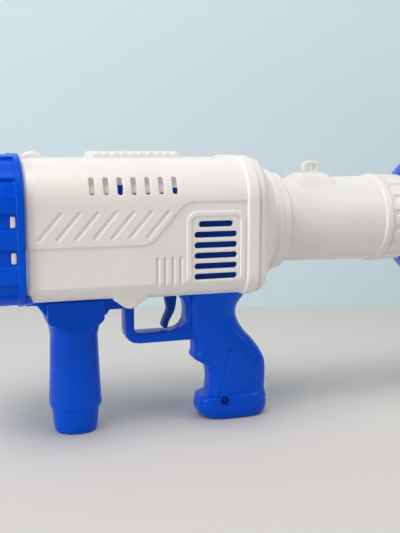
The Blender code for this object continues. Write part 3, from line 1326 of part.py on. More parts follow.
def build_blower():
    """Scroll housing with its outlet and motor sleeve, and the cover plate with the inlet eye."""
    inner = SCROLL_HALF_WIDTH
    outer = inner + SCROLL_WALL
    cover_y = -inner - FIT
    housing = side_prism("blower_housing", [scroll_outline(SCROLL_WALL)], -inner, outer)
    wide = outer + FLANGE_RIM - SCROLL_WALL
    flange = box("flange", (JOINT_X, -inner, OUTLET_LOW - SCROLL_WALL - FLANGE_RIM),
                 (JOINT_X + FLANGE_PLATE, wide, OUTLET_TOP + SCROLL_WALL + FLANGE_RIM))
    combine(housing, flange, "UNION")
    foot = box("foot", (FAN_X + FIT, -FOOT_HALF, BODY_BOTTOM + BODY_WALL + FIT),
               (FAN_X + FOOT_LENGTH, FOOT_HALF, FAN_Z))
    combine(housing, foot, "UNION")
    hub = (FAN_X, FAN_Z)
    seat = MOTOR_RADIUS + FIT
    sleeve = cross_rod("sleeve", hub, outer - SCROLL_WALL / 2, outer + MOTOR_SLEEVE, seat + SCROLL_WALL,
                       MOTOR_SIDES)
    combine(housing, sleeve, "UNION")
    combine(housing, side_prism("flow", [scroll_outline(0)], -2 * inner, inner), "DIFFERENCE")
    motor_seat = cross_rod("motor_seat", hub, outer, outer + 2 * MOTOR_SLEEVE, seat, MOTOR_SIDES)
    combine(housing, motor_seat, "DIFFERENCE")
    combine(housing, cross_rod("shaft_hole", hub, 0, 2 * outer, 3 * SHAFT_RADIUS, PIN_SIDES), "DIFFERENCE")
    eye = circle(hub, EYE_RADIUS, FAN_STEPS)
    cover = side_prism("blower_cover", [scroll_outline(SCROLL_WALL), eye], cover_y - SCROLL_WALL, cover_y)
    return beside_screen(housing, cover)


def build_duct():
    """Funnel from the scroll's outlet to the nozzle plate."""
    front = SPIGOT_FRONT
    mouth = offset(BODY, SPIGOT_OFFSET - BODY_WALL - FIT)
    middle = (OUTLET_TOP + OUTLET_LOW) / 2 - AXIS_HEIGHT

    def throat(wall):
        half_width = SCROLL_HALF_WIDTH + wall
        half_height = (OUTLET_TOP - OUTLET_LOW) / 2 + wall
        section = Section(half_width, half_height, SCROLL_WALL + wall, SCROLL_WALL + wall)
        return [(FAN_Y + y, z + middle) for y, z in section_outline(section, FACET_STEPS)]

    def funnel(name, wall, reach):
        skin = section_outline(offset(mouth, wall - DUCT_WALL), FACET_STEPS)
        end = [(front - reach, y, z) for y, z in skin]
        straight = [(BODY_WALL, y, z) for y, z in skin]
        neck = [(JOINT_X - FIT + reach, y, z) for y, z in throat(wall)]
        return loft(name, [end, straight, neck])

    duct = funnel("air_duct", DUCT_WALL, 0)
    half_width = SCROLL_HALF_WIDTH + FLANGE_RIM
    rim = SCROLL_WALL + FLANGE_RIM
    flange = box("flange", (JOINT_X - FIT - FLANGE_PLATE, FAN_Y - half_width, OUTLET_LOW - rim),
                 (JOINT_X - FIT - WELD, FAN_Y + half_width, OUTLET_TOP + rim))
    combine(duct, flange, "UNION")
    combine(duct, funnel("duct_inside", 0, FLANGE_PLATE), "DIFFERENCE")
    return duct


def build_fan():
    """Impeller with forward-curved blades between a disc and a ring."""
    back = FAN_HALF_WIDTH
    front = -FAN_HALF_WIDTH
    axis = (FAN_X, FAN_Z)
    blades = []
    for i in range(FAN_BLADES):
        outline = []
        for side, shares in ((0, (0, 0.6, 1)), (FAN_BLADE_THICKNESS, (1, 0.6, 0))):
            for share in shares:
                radius = FAN_BLADE_ROOT + (FAN_RADIUS - 2 * FIT - FAN_BLADE_ROOT) * share
                angle = math.tau * i / FAN_BLADES + FAN_SWEEP * share * share + side / radius
                outline.append((FAN_X + radius * math.cos(angle), FAN_Z + radius * math.sin(angle)))
        blades.append(side_prism("blade", [outline], front + FAN_DISC / 2, back - FAN_DISC / 2))
    disc = circle(axis, FAN_RADIUS, FAN_STEPS)
    fan = side_prism("impeller", [disc], back - FAN_DISC, back)
    combine(fan, joined("blades", blades), "UNION")
    ring = side_prism("ring", [disc, circle(axis, EYE_RADIUS, FAN_STEPS)], front, front + FAN_DISC)
    combine(fan, ring, "UNION")
    hub = cross_rod("hub", axis, front / 2, back - FAN_DISC / 2, FAN_HUB_RADIUS, 16)
    combine(fan, hub, "UNION")
    bore = cross_rod("bore", axis, front / 2 + FAN_DISC, 2 * back, SHAFT_RADIUS + FIT, SHAFT_SIDES)
    combine(fan, bore, "DIFFERENCE")
    return beside_screen(fan)[0]


def build_motor():
    """Motor can with two flats behind the scroll, its end cap, and the shaft in the impeller's hub."""
    axis = (FAN_X, FAN_Z)
    can_y = MOTOR_START
    shaft_end = can_y + SHAFT_SEAT
    shaft_start = FAN_DISC + FIT - FAN_HALF_WIDTH / 2
    shaft = cross_rod("motor_shaft", axis, shaft_start, shaft_end, SHAFT_RADIUS, SHAFT_SIDES)
    cut = math.degrees(math.asin(MOTOR_FLAT / MOTOR_RADIUS))
    outline = arc(axis, MOTOR_RADIUS, -cut, cut, 8) + arc(axis, MOTOR_RADIUS, 180 - cut, 180 + cut, 8)
    can = side_prism("motor", [outline], can_y, can_y + MOTOR_LENGTH)
    bore = cross_rod("bore", axis, 0, shaft_end + FIT, SHAFT_RADIUS + FIT, SHAFT_SIDES)
    combine(can, bore, "DIFFERENCE")
    cap_y = can_y + MOTOR_LENGTH + FIT
    cap = side_prism("motor_end_cap", [outline], cap_y, MOTOR_END)
    return beside_screen(shaft, can, cap)


def principled(name, colour, roughness, metallic=0.0):
    """Plain material with the piece's own colour."""
    material = bpy.data.materials.new(name)
    material.use_nodes = True
    shader = material.node_tree.nodes["Principled BSDF"]
    shader.inputs["Base Color"].default_value = (*colour, 1)
    shader.inputs["Roughness"].default_value = roughness
    shader.inputs["Metallic"].default_value = metallic
    return material


class Assembly:
    """Collects the finished pieces under one root empty at the middle of the object's base."""

    def __init__(self, name):
        self.collection = bpy.data.collections.new(name)
        bpy.context.scene.collection.children.link(self.collection)
        self.root = self.empty(name, None, (-MIDDLE_X, 0, 0))

    def empty(self, name, parent, place):
        item = bpy.data.objects.new(f"{name}_origin", None)
        item.location = place
        item.parent = parent
        self.collection.objects.link(item)
        return item

    def add(self, item, look, pivot=None):
        colour, roughness, metallic = look
        item.data.name = item.name
        item.data.materials.clear()
        item.data.materials.append(principled(item.name, colour, roughness, metallic))
        item.data.shade_smooth()
        item.data.set_sharp_from_angle(angle=math.radians(35))
        bpy.context.scene.collection.objects.unlink(item)
        self.collection.objects.link(item)
        item.parent = self.root
        if pivot:
            item.parent = self.empty(item.name, self.root, pivot)
            item.location = -Vector(pivot)


def main():
    for item in list(bpy.data.objects):
        bpy.data.objects.remove(item)
    white = (WHITE, 0.42, 0.0)
    blue = (BLUE, 0.35, 0.0)
    deep_blue = (DEEP_BLUE, 0.4, 0.0)
    steel = (STEEL, 0.35, 1.0)
    black = (BLACK, 0.5, 0.0)
    model = Assembly("bubble_blower")

    for shell in build_body():
        model.add(shell, white)
    for name, side in (("vent_screen_left", -1), ("vent_screen_right", 1)):
        model.add(build_vent_screen(name, side), deep_blue)
    model.add(build_rail(), white)
    model.add(build_shroud(), blue)
    model.add(build_nozzle_plate(), white)
    for item in (build_tail_tube(), build_tail_collar(), build_saddle()):
        model.add(item, white)
    model.add(build_tail_bell(), blue)
    for half in build_frame() + build_foregrip():
        model.add(half, blue)
    model.add(build_door(), blue, (door_screw().x, -GRIP_HALF, door_screw().z))
    model.add(screw("battery_door_screw", door_screw(), -1), steel)

    trigger, pin = build_trigger()
    model.add(trigger, deep_blue, (PIVOT_X, 0, PIVOT_Z))
    model.add(pin, steel)
    plunger, spring, switch = build_switch()
    model.add(plunger, black, (PLUNGER_X, 0, SWITCH_Z))
    model.add(spring, steel)
    model.add(switch, black)
    model.add(side_prism("battery_pack", [pack_outline(0)], -PACK_HALF, PACK_HALF), (PACK_GREEN, 0.35, 0.0))

    for item in build_blower():
        model.add(item, blue)
    model.add(build_duct(), white)
    model.add(build_fan(), white, (FAN_X, FAN_Y, FAN_Z))
    shaft, can, cap = build_motor()
    model.add(shaft, steel, (FAN_X, FAN_Y, FAN_Z))
    model.add(can, steel)
    model.add(cap, black)

    groups = (("body", body_screws()), ("frame", frame_screws()), ("foregrip", foregrip_screws()))
    for group, places in groups:
        for spot, place in places.items():
            model.add(screw(f"{group}_screw_{spot}", place, 1), steel)


main()
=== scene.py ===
import math

import bpy
import numpy as np
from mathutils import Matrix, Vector


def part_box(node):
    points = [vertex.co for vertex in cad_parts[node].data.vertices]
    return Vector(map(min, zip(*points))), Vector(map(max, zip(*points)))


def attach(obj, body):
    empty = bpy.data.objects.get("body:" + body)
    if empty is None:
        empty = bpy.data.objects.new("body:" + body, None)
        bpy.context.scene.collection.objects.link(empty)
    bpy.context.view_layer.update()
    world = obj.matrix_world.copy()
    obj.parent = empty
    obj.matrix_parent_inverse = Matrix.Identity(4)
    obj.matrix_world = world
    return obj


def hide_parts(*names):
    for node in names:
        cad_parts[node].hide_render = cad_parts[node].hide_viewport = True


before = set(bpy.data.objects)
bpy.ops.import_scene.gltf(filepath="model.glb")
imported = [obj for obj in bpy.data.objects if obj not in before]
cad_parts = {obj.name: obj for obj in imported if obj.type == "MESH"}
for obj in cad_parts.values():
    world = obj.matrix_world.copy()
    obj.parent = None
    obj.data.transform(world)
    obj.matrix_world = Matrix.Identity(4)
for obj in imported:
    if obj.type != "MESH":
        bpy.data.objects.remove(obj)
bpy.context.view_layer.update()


# The place it stands in: a plain pale floor with a pale backdrop behind it, lit by three soft lamps, with the
# camera low beside the muzzle, where the photograph was taken from.
MM = 0.001
VIEW_TURN, VIEW_TILT = math.radians(-18.0), math.radians(81.5)
FLOOR_REACH, FLOOR_BACK, BACK_HEIGHT = 2.4, 0.46, 2.0
FLOOR_COLOUR, BACK_COLOUR = (0.66, 0.63, 0.60, 1.0), (0.60, 0.72, 0.77, 1.0)
SHEET_ROUGHNESS = 0.85


def mesh_of(name, points, faces, caps=()):
    """An object with a smooth shaded mesh of these points, faces of equal corner count, and flat end caps."""
    points = np.asarray(points, float).reshape(-1, 3)
    faces = np.asarray(faces, np.int32)
    corners = np.concatenate([faces.ravel()] + [np.asarray(cap, np.int32) for cap in caps])
    starts = np.concatenate([np.arange(0, faces.size, faces.shape[1]),
                             faces.size + np.cumsum([0] + [len(cap) for cap in caps])[:-1]]).astype(np.int32)
    mesh = bpy.data.meshes.new(name)
    mesh.vertices.add(len(points))
    mesh.vertices.foreach_set("co", points.ravel())
    mesh.loops.add(len(corners))
    mesh.loops.foreach_set("vertex_index", corners)
    mesh.polygons.add(len(starts))
    mesh.polygons.foreach_set("loop_start", starts)
    mesh.polygons.foreach_set("use_smooth", np.ones(len(starts), bool))
    mesh.update(calc_edges=True)
    mesh.validate()
    piece = bpy.data.objects.new(name, mesh)
    bpy.context.scene.collection.objects.link(piece)
    return piece


def cells(rows, columns, round_rows=False, round_columns=False):
    """Corner numbers of each cell of a grid, rows by columns, closed on itself where asked."""
    index = np.arange(rows * columns).reshape(rows, columns)
    if round_rows:
        index = np.vstack([index, index[:1]])
    if round_columns:
        index = np.hstack([index, index[:, :1]])
    return np.stack([index[:-1, :-1], index[1:, :-1], index[1:, 1:], index[:-1, 1:]], axis=-1).reshape(-1, 4)


def grid_of(x, y, z):
    """Points from three arrays of coordinates, each spread over the grid that they span together."""
    return np.stack(np.broadcast_arrays(x, y, z), axis=-1)


def new_material(name):
    """A new material with nodes, its shader tree, and the Principled shader in it."""
    material = bpy.data.materials.new(name)
    material.use_nodes = True
    return material, material.node_tree, material.node_tree.nodes["Principled BSDF"]


def wire(tree, node, inputs):
    """Sets inputs of a shader node, by name or number, and links those that are given an output."""
    for socket, value in inputs.items():
        if isinstance(value, bpy.types.NodeSocket):
            tree.links.new(value, node.inputs[socket])
        else:
            node.inputs[socket].default_value = value


def new_node(tree, kind, inputs=None, **fields):
    """A new shader node of a kind, with its fields set before its inputs."""
    node = tree.nodes.new("ShaderNode" + kind)
    for field, value in fields.items():
        setattr(node, field, value)
    wire(tree, node, inputs or {})
    return node


def studio_sheet(name, line, colour):
    """A wide sheet: a line of (back, up) drawn out sideways and turned to face the camera.

    It is clear from behind, so that the object can be looked at from every side.
    """
    wide, back = np.array([-FLOOR_REACH, FLOOR_REACH]), line[:, :1]
    grid = grid_of(wide * math.cos(VIEW_TURN) - back * math.sin(VIEW_TURN),
                   wide * math.sin(VIEW_TURN) + back * math.cos(VIEW_TURN), line[:, 1:])
    sheet = mesh_of(name, grid, cells(len(line), 2)[:, ::-1])
    paint, tree, shader = new_material(name + "_paint")
    behind = new_node(tree, "NewGeometry").outputs["Backfacing"]
    front = new_node(tree, "Math", {0: 1.0, 1: behind}, operation="SUBTRACT")
    wire(tree, shader, {"Base Color": colour, "Roughness": SHEET_ROUGHNESS, "Alpha": front.outputs[0]})
    sheet.data.materials.append(paint)


studio_sheet("studio_floor", np.array([(-FLOOR_REACH, 0.0), (FLOOR_BACK, 0.0)]), FLOOR_COLOUR)
studio_sheet("studio_backdrop", np.array([(FLOOR_BACK, 0.0), (FLOOR_BACK, BACK_HEIGHT)]), BACK_COLOUR)


def soft_lamp(name, place, aim, width, power, colour):
    """A square soft lamp at a place, turned to its aim."""
    lamp = bpy.data.lights.new(name, "AREA")
    lamp.shape = "SQUARE"
    lamp.size = width
    lamp.energy = power
    lamp.color = colour
    holder = bpy.data.objects.new(name, lamp)
    holder.location = place
    holder.rotation_euler = (Vector(aim) - Vector(place)).to_track_quat("-Z", "Y").to_euler()
    bpy.context.scene.collection.objects.link(holder)


soft_lamp("top_lamp", (-0.5, -0.35, 1.3), (0, 0, 0.12), 0.8, 12.0, (1.0, 0.98, 0.955))
soft_lamp("front_lamp", (-1.5, -0.5, 0.35), (0, 0, 0.1), 0.7, 9.0, (1.0, 0.985, 0.97))
soft_lamp("side_lamp", (0.9, -0.5, 0.8), (0, 0, 0.12), 0.6, 3.4, (1.0, 0.97, 0.94))
world = bpy.data.worlds.new("studio_air")
bpy.context.scene.world = world
world.use_nodes = True
wire(world.node_tree, world.node_tree.nodes["Background"], {"Color": (0.86, 0.9, 0.96, 1.0), "Strength": 0.3})
bpy.context.scene.view_settings.view_transform = "Standard"

camera_data = bpy.data.cameras.new("photo_camera")
camera_data.lens = 72.0
camera_data.sensor_fit = "HORIZONTAL"
camera_data.sensor_width = 36.0
camera = bpy.data.objects.new("photo_camera", camera_data)
camera.location = (-0.20675, -0.616, 0.2233)
camera.rotation_euler = (VIEW_TILT, 0.0, VIEW_TURN)
bpy.context.scene.collection.objects.link(camera)
bpy.context.scene.camera = camera


# The body: two half shells moulded in white plastic and screwed together along the middle. The section is a
# rounded box that runs out into a round neck at the tail. Cooling slots, engraved stripes, a vent panel and
# notches are moulded into each half.
def mm(*values):
    """Values, or rows of values, given in millimetres."""
    return np.array(values) * MM


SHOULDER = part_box("muzzle_shroud")[1].x + 0.3 * MM
bell_low, bell_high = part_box("tail_bell")
AXIS = (bell_low.z + bell_high.z) / 2
BODY_WIDE, BODY_TALL, TOP_CORNER, LOW_CORNER, BODY_LENGTH, NECK_RADIUS = mm(54.0, 52.3, 32.0, 18.0, 166.0, 42.0)
CONE_FROM, CONE_TO, STEP_HEIGHT, STEP_END, PANEL_TOP = mm(182.0, 197.5, -10.8, 90.0, 20.3)
STRIPE_RUN, STRIPE_RISE, STRIPE_HALF = mm(18.4, 21.0, 1.5)
NOTCH_LOW, NOTCH_TOP, NOTCH_HALF = mm(-43.5, -21.5, 1.2)
STEP_DEEP_MM, STRIPE_DEEP_MM, NOTCH_DEEP_MM = 0.8, 0.7, 1.4
BEAD_HALF, BEAD_TALL, BEAD_INSET, BEAD_CORNER = mm(1.95, 1.25, 1.85, 8.0)
SKIRT_TOP, SKIRT_FROM, SKIRT_TO = mm(-44.0, 1.6, 65)
SKIRT_SLANT = 0.55
VENTS, SLOTS, SLOT_TILT = 6, 7, math.radians(23)
VENT_MIDDLE, VENT_HALF, VENT_WALL = mm(140.7, 2.4, 3.0)
SLOT_LONG, SLOT_HALF, SLOT_WALL = mm(4.75, 2.1, 2.6)
EDGE_REACH, EDGE_SINK, SEAM_DEPTH, CELL = mm(0.9, 0.3, 0.35, 0.62)
NOWHERE = 1.0
MIRROR = np.array([1, -1, 1])


def eased(points, reach, steps=5):
    """An open line whose corners are each replaced by a quadratic Bezier.

    Its ends lie reach back along the two edges, or 45 percent of an edge where that is shorter.
    """
    points = np.asarray(points, float)
    corner, back, ahead = points[1:-1], points[:-2] - points[1:-1], points[2:] - points[1:-1]
    reach = np.broadcast_to(np.asarray(reach, float), len(corner))[:, None]
    back_long = np.linalg.norm(back, axis=1, keepdims=True)
    ahead_long = np.linalg.norm(ahead, axis=1, keepdims=True)
    start = corner + back / back_long * np.minimum(reach, 0.45 * back_long)
    end = corner + ahead / ahead_long * np.minimum(reach, 0.45 * ahead_long)
    t = np.linspace(0, 1, steps)[None, :, None]
    curve = (1 - t) ** 2 * start[:, None] + 2 * t * (1 - t) * corner[:, None] + t ** 2 * end[:, None]
    return np.vstack([points[:1], curve.reshape(-1, points.shape[1]), points[-1:]])


def finer(line, step):
    """The same open line with points no further apart than step along its first coordinate."""
    count = np.maximum(1, np.ceil(np.abs(np.diff(line[:, 0])) / step).astype(int))
    part = np.concatenate([i + np.arange(n) / n for i, n in enumerate(count)] + [[len(line) - 1.0]])
    return np.column_stack([np.interp(part, np.arange(len(line)), column) for column in line.T])


def run_along(line):
    """The length run along a line at each of its points."""
    return np.concatenate([[0], np.cumsum(np.linalg.norm(np.diff(line, axis=0), axis=1))])


def half_section(step):
    """The body's left half section from the bottom seam over the side to the top seam.

    Gives points (across, up) about the axis and outward directions, step apart, or four steps on the flat
    bottom and top.
    """
    pieces = []
    for centre_y, centre_z, radius, first, last in (
        (0.0, -BODY_TALL, 0.0, 90, 90),
        (-(BODY_WIDE - LOW_CORNER), -(BODY_TALL - LOW_CORNER), LOW_CORNER, 90, 0),
        (-(BODY_WIDE - TOP_CORNER), BODY_TALL - TOP_CORNER, TOP_CORNER, 0, -90),
        (0.0, BODY_TALL, 0.0, -90, -90),
    ):
        turn = np.radians(np.linspace(first, last, 2 + int(radius * math.pi / 2 / step)))
        out = np.column_stack([-np.cos(turn), -np.sin(turn)])
        pieces.append(np.hstack([np.array([centre_y, centre_z]) + radius * out, out]))
    line = np.vstack([pieces[0][:1], pieces[1], pieces[2], pieces[3][:1]])
    run = run_along(line[:, :2])
    side_from, side_to, end = -line[1, 0] - 2 * step, run[-1] + line[-2, 0], run[-1]
    even = np.concatenate([[0.0], np.arange(step, side_from, 4 * step), np.arange(side_from, side_to, step),
                           np.arange(side_to, end - 2 * step, 4 * step), [end - step, end]])
    fields = np.column_stack([np.interp(even, run, column) for column in line.T])
    fields[:, 2:] /= np.linalg.norm(fields[:, 2:], axis=1, keepdims=True)
    return fields[:, :2], fields[:, 2:]


def barrel(stations, outline, outward):
    """Points of a skin around the axis: each station is (along, offset, roundness) from the shoulder.

    The section is the outline plus offset times its outward direction. Roundness carries it over to a circle of
    the neck's radius, whose points stand at even angles.
    """
    along, offset, roundness = stations.T
    angle = np.linspace(0, math.pi, len(outline))
    circle = np.column_stack([-np.sin(angle), -np.cos(angle)])
    blend = roundness[:, None, None]
    line = (1 - blend) * outline[None] + blend * NECK_RADIUS * circle[None]
    out = (1 - blend) * outward[None] + blend * circle[None]
    out /= np.linalg.norm(out, axis=2, keepdims=True)
    line = line + out * offset[:, None, None]
    return grid_of(along[:, None], line[..., 0], line[..., 1]), out


def capsules(flat, starts, ends, half):
    """Signed distance of flat points to the nearest of many round-ended bars, and the direction away from it.

    The distance is that to the bar's middle line less its half width, so it is negative inside.
    """
    spot, run = flat[..., None, :], ends - starts
    share = np.clip(((spot - starts) * run).sum(-1) / np.maximum((run ** 2).sum(-1), 1e-18), 0, 1)
    away = spot - (starts + share[..., None] * run)
    far = np.linalg.norm(away, axis=-1)
    nearest = (far - half).argmin(-1)[..., None]
    gap = np.take_along_axis(far - half, nearest, -1)[..., 0]
    away = np.take_along_axis(away, nearest[..., None], -2)[..., 0, :]
    far = np.take_along_axis(far, nearest, -1)
    return gap, away / np.maximum(far, 1e-9)


def rounded_box(x, z, low, high, radius):
    """Signed distance to a rectangle with round corners."""
    middle, half = (np.array(low) + high) / 2, (np.array(high) - low) / 2
    qx, qz = np.abs(x - middle[0]) - half[0] + radius, np.abs(z - middle[1]) - half[1] + radius
    return np.hypot(np.maximum(qx, 0), np.maximum(qz, 0)) + np.minimum(np.maximum(qx, qz), 0) - radius


def soft_step(value, low, high, unit=MM):
    """0 below low, 1 above high, and a smooth cubic between. Both are in millimetres, or else in the unit."""
    low, high = low * unit, high * unit
    share = np.clip((value - low) / (high - low), 0, 1)
    return share * share * (3 - 2 * share)


def pierce(flat, hole, cell, where=True):
    """Snaps flat points to a hole's edge and just inside it. The hole is a gap and a direction, cut where asked.

    Gives the moved points, which of them are beyond the edge, and the gap. Those next to the edge stand at the
    foot of the hole's wall, and cells with only points beyond it are left out.
    """
    gap, away = np.where(where, hole[0], NOWHERE), hole[1]
    within = gap <= -0.5 * cell
    inside = np.where(within & (gap > -2.1 * cell), -0.12 * MM - gap, 0.0)
    shift = np.where(np.abs(gap) < 0.5 * cell, -gap, inside)
    return flat + away * shift[..., None], within, gap


def edge_lip(gap):
    """How much an edge is rounded off: 1 on the edge, falling as a square to 0 at its reach."""
    return np.clip(1 - np.abs(gap) / EDGE_REACH, 0, 1) ** 2


section, section_out = half_section(CELL)
profile = mm(
    (-1.0, -9.0), (0.0, -5.0), (0.2, -2.2), (2.4, -0.9), (8.0, 0.0), (165.6, 0.0), (165.9, 1.2), (167.0, 1.6),
    (174.2, 1.6), (175.0, 1.0), (175.3, -1.0), (176.7, -1.0), (177.0, 0.1), (180.4, -0.5), (181.4, -2.0),
    (182.2, -3.4), (197.2, 0.0), (197.5, 0.8), (201.2, 0.5), (201.5, -1.6), (208.6, -2.4), (209.0, -4.6),
    (208.6, -7.5),
)
profile = finer(eased(profile, 0.9 * MM), CELL)
cone_share = np.clip((profile[:, 0] - CONE_FROM) / (CONE_TO - CONE_FROM), 0, 1)
stations = np.column_stack([profile, np.sin(cone_share * math.pi / 2) ** 1.5])
skin, skin_out = barrel(stations, section, section_out)
x, up = skin[..., 0], skin[..., 2]
on_side = soft_step(x, 0.3, 0.8) * soft_step(BODY_LENGTH - x, 0.2, 0.6)

# The lower field and the vent panel are one sunken level below a line that steps up beside the last stripe.
slope_end = STEP_END + (PANEL_TOP - STEP_HEIGHT) * STRIPE_RUN / STRIPE_RISE
step_line = np.mean([
    np.interp(x + d * MM, [STEP_END, slope_end], [STEP_HEIGHT, PANEL_TOP]) for d in np.linspace(-5, 5, 11)
], axis=0)
lean = np.gradient(step_line, axis=0) / np.maximum(np.gradient(x, axis=0), 1e-9)
sunken = soft_step((step_line - up) / np.hypot(1, lean), -0.5, 0.7) * STEP_DEEP_MM * MM

# A rounded bead frames the vents.
bead = rounded_box(x, up, mm(117.6, -45.0), mm(163.8, 13.1), BEAD_CORNER) + BEAD_INSET
sunken = sunken - BEAD_TALL * np.sqrt(np.clip(1 - (bead / BEAD_HALF) ** 2, 0, 1))

# Seven slanted stripes and four notches are shallow round-bottomed grooves.
stripe_start = np.array([((7.9 + 13.1 * i + 1.6) * MM, -4.4 * MM) for i in range(7)])
stripe_end = stripe_start + np.array([STRIPE_RUN - 2.8 * MM, STRIPE_RISE - 3.2 * MM])
flat_skin = skin[..., [0, 2]]
stripes, _ = capsules(flat_skin, stripe_start, stripe_end, STRIPE_HALF)
notch_from = np.array([((112.8 - 5.95 * i) * MM, NOTCH_LOW) for i in range(4)])
notch_to = np.column_stack([notch_from[:, 0], np.full(4, NOTCH_TOP)])
notches, _ = capsules(flat_skin, notch_from, notch_to, NOTCH_HALF)
grooves = STRIPE_DEEP_MM * soft_step(-stripes, -0.25, 0.6) \
    + NOTCH_DEEP_MM * soft_step(-notches, -0.3, 0.8)
sunken = (sunken + MM * grooves) * on_side

side_face = BODY_WIDE + np.minimum(stations[:, 1:2], 0) - sunken
skin[..., 1] = np.where(on_side > 0, -np.minimum(-skin[..., 1], side_face), skin[..., 1])

# Under the front of each side the wall steps in to a low skirt that meets the rail.
skirt = soft_step(SKIRT_TOP - up, -0.3, 0.5)
skirt = skirt * soft_step(x - SKIRT_FROM + SKIRT_SLANT * (up - SKIRT_TOP), 0.0, 0.8) \
    * soft_step(SKIRT_TO - x, 0, 1.5)
skin[..., 1:] -= skin_out * np.array([2.2, 0.8]) * MM * skirt[..., None]

# The halves meet along the top and the bottom in a fine V.
skin[:, [0, -1], 1:] -= SEAM_DEPTH * skin_out[:, [0, -1]]

# Six vents go straight through the side, and seven slots go through the upper corner at a tilt.
vent_reach = np.array([27.6, 34.4, 34.4, 34.4, 34.4, 34.4]) / 2 * MM - VENT_HALF
vent_up = 3.5 * MM - np.arange(VENTS) * 7.9 * MM
vent_from = np.column_stack([VENT_MIDDLE - vent_reach, vent_up])
vent_to = np.column_stack([VENT_MIDDLE + vent_reach, vent_up])
slot_out = np.array([-math.cos(SLOT_TILT), math.sin(SLOT_TILT)])
slot_along = np.array([math.sin(SLOT_TILT), math.cos(SLOT_TILT)])
corner_mid = np.array([-(BODY_WIDE - TOP_CORNER), BODY_TALL - TOP_CORNER])
slot_x = (47.7 + 10.2 * np.arange(SLOTS)) * MM
slot_from = np.column_stack([slot_x, np.full(SLOTS, -SLOT_LONG)])
slot_to = np.column_stack([slot_x, np.full(SLOTS, SLOT_LONG)])


def body_half(wells):
    """One half of the body from the shared skin, with its vents, slots and screw wells pierced.

    A point near a hole is snapped to its edge, the next one inside goes in by the wall, and the rest is cut.
    """
    points = skin.copy()
    flat = points[..., [0, 2]]
    holes = capsules(flat, np.vstack([vent_from, wells[:, :2]]), np.vstack([vent_to, wells[:, :2]]),
                     np.concatenate([np.full(VENTS, VENT_HALF), wells[:, 2]]))
    points[..., [0, 2]], cut, gap = pierce(flat, holes, CELL, (on_side > 0) & (points[..., 1] < -30 * MM))
    points[..., 1] += VENT_WALL * cut + EDGE_SINK * edge_lip(gap) * ~cut
    tilted = points[..., 1:] - corner_mid
    depth = tilted @ slot_out
    flat = np.stack([points[..., 0], tilted @ slot_along], -1)
    moved, slotted, gap = pierce(flat, capsules(flat, slot_from, slot_to, SLOT_HALF), CELL, depth > 8 * MM)
    depth = depth - SLOT_WALL * slotted - EDGE_SINK * edge_lip(gap) * ~slotted
    touched = gap < 1.2 * MM
    new_yz = corner_mid + depth[..., None] * slot_out + moved[..., 1:] * slot_along
    points[..., 0] = np.where(touched, moved[..., 0], points[..., 0])
    points[..., 1:] = np.where(touched[..., None], new_yz, points[..., 1:])
    return points, cut | slotted


def placed(points):
    """Points from the shoulder and the axis, put where the frame has them."""
    return points + np.array([SHOULDER, 0.0, AXIS])


def node_middle(node):
    """The middle of a solid, along and up, from the shoulder and the axis."""
    low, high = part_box(node)
    return np.array([(low.x + high.x) / 2 - SHOULDER, (low.z + high.z) / 2 - AXIS])


def piece_of(name, grid, cut=None, beyond=None, flip=False, caps=(), **closed):
    """A piece from a grid of points about the shoulder and the axis, with its faces turned about where asked.

    Cells with only cut corners, or with any corner beyond, are left out.
    """
    faces = cells(*grid.shape[:2], **closed)
    if beyond is not None:
        faces = faces[~beyond.ravel()[faces].any(-1)]
    if cut is not None:
        faces = faces[~cut.ravel()[faces].all(-1)]
    return mesh_of(name, placed(grid), faces[:, ::-1] if flip else faces, caps)


def moulded_group():
    """Moulded plastic as a shader group: a slow drift between two colours, fine grain, and faint rubbing.

    Drift mixes the colours by soft noise; grain is fine noise for the bump; rubbing changes the roughness.
    """
    group = bpy.data.node_groups.new("moulded_plastic", "ShaderNodeTree")
    for socket, kind, start in (
        ("Colour", "Color", (0.8, 0.8, 0.8, 1)), ("Drift Colour", "Color", (0.7, 0.7, 0.7, 1)),
        ("Gloss", "Float", 0.35), ("Rubbed", "Float", 0.12),
    ):
        made = group.interface.new_socket(name=socket, in_out="INPUT", socket_type="NodeSocket" + kind)
        made.default_value = start
    for socket, kind in (("Colour", "Color"), ("Roughness", "Float"), ("Height", "Float")):
        group.interface.new_socket(name=socket, in_out="OUTPUT", socket_type="NodeSocket" + kind)
    given, put = group.nodes.new("NodeGroupInput").outputs, group.nodes.new("NodeGroupOutput")
    place = new_node(group, "TexCoord").outputs["Object"]

    def noise(scale, detail, stretch=(1, 1, 1)):
        mapped = new_node(group, "Mapping", {"Vector": place, "Scale": stretch}).outputs["Vector"]
        return new_node(group, "TexNoise", {"Vector": mapped, "Scale": scale, "Detail": detail}).outputs["Fac"]

    drift = new_node(group, "MapRange", {"Value": noise(14.0, 3.0), "From Min": 0.35, "From Max": 0.7})
    mix = new_node(group, "Mix", {"Factor": drift.outputs["Result"], "A": given["Colour"],
                                  "B": given["Drift Colour"]}, data_type="RGBA")
    rub = new_node(group, "Math", {0: noise(60.0, 6.0, (0.25, 1, 1)), 1: given["Rubbed"], 2: given["Gloss"]},
                   operation="MULTIPLY_ADD")
    wire(group, put, {"Colour": mix.outputs["Result"], "Roughness": rub.outputs[0],
                      "Height": noise(1400.0, 2.0)})
    return group


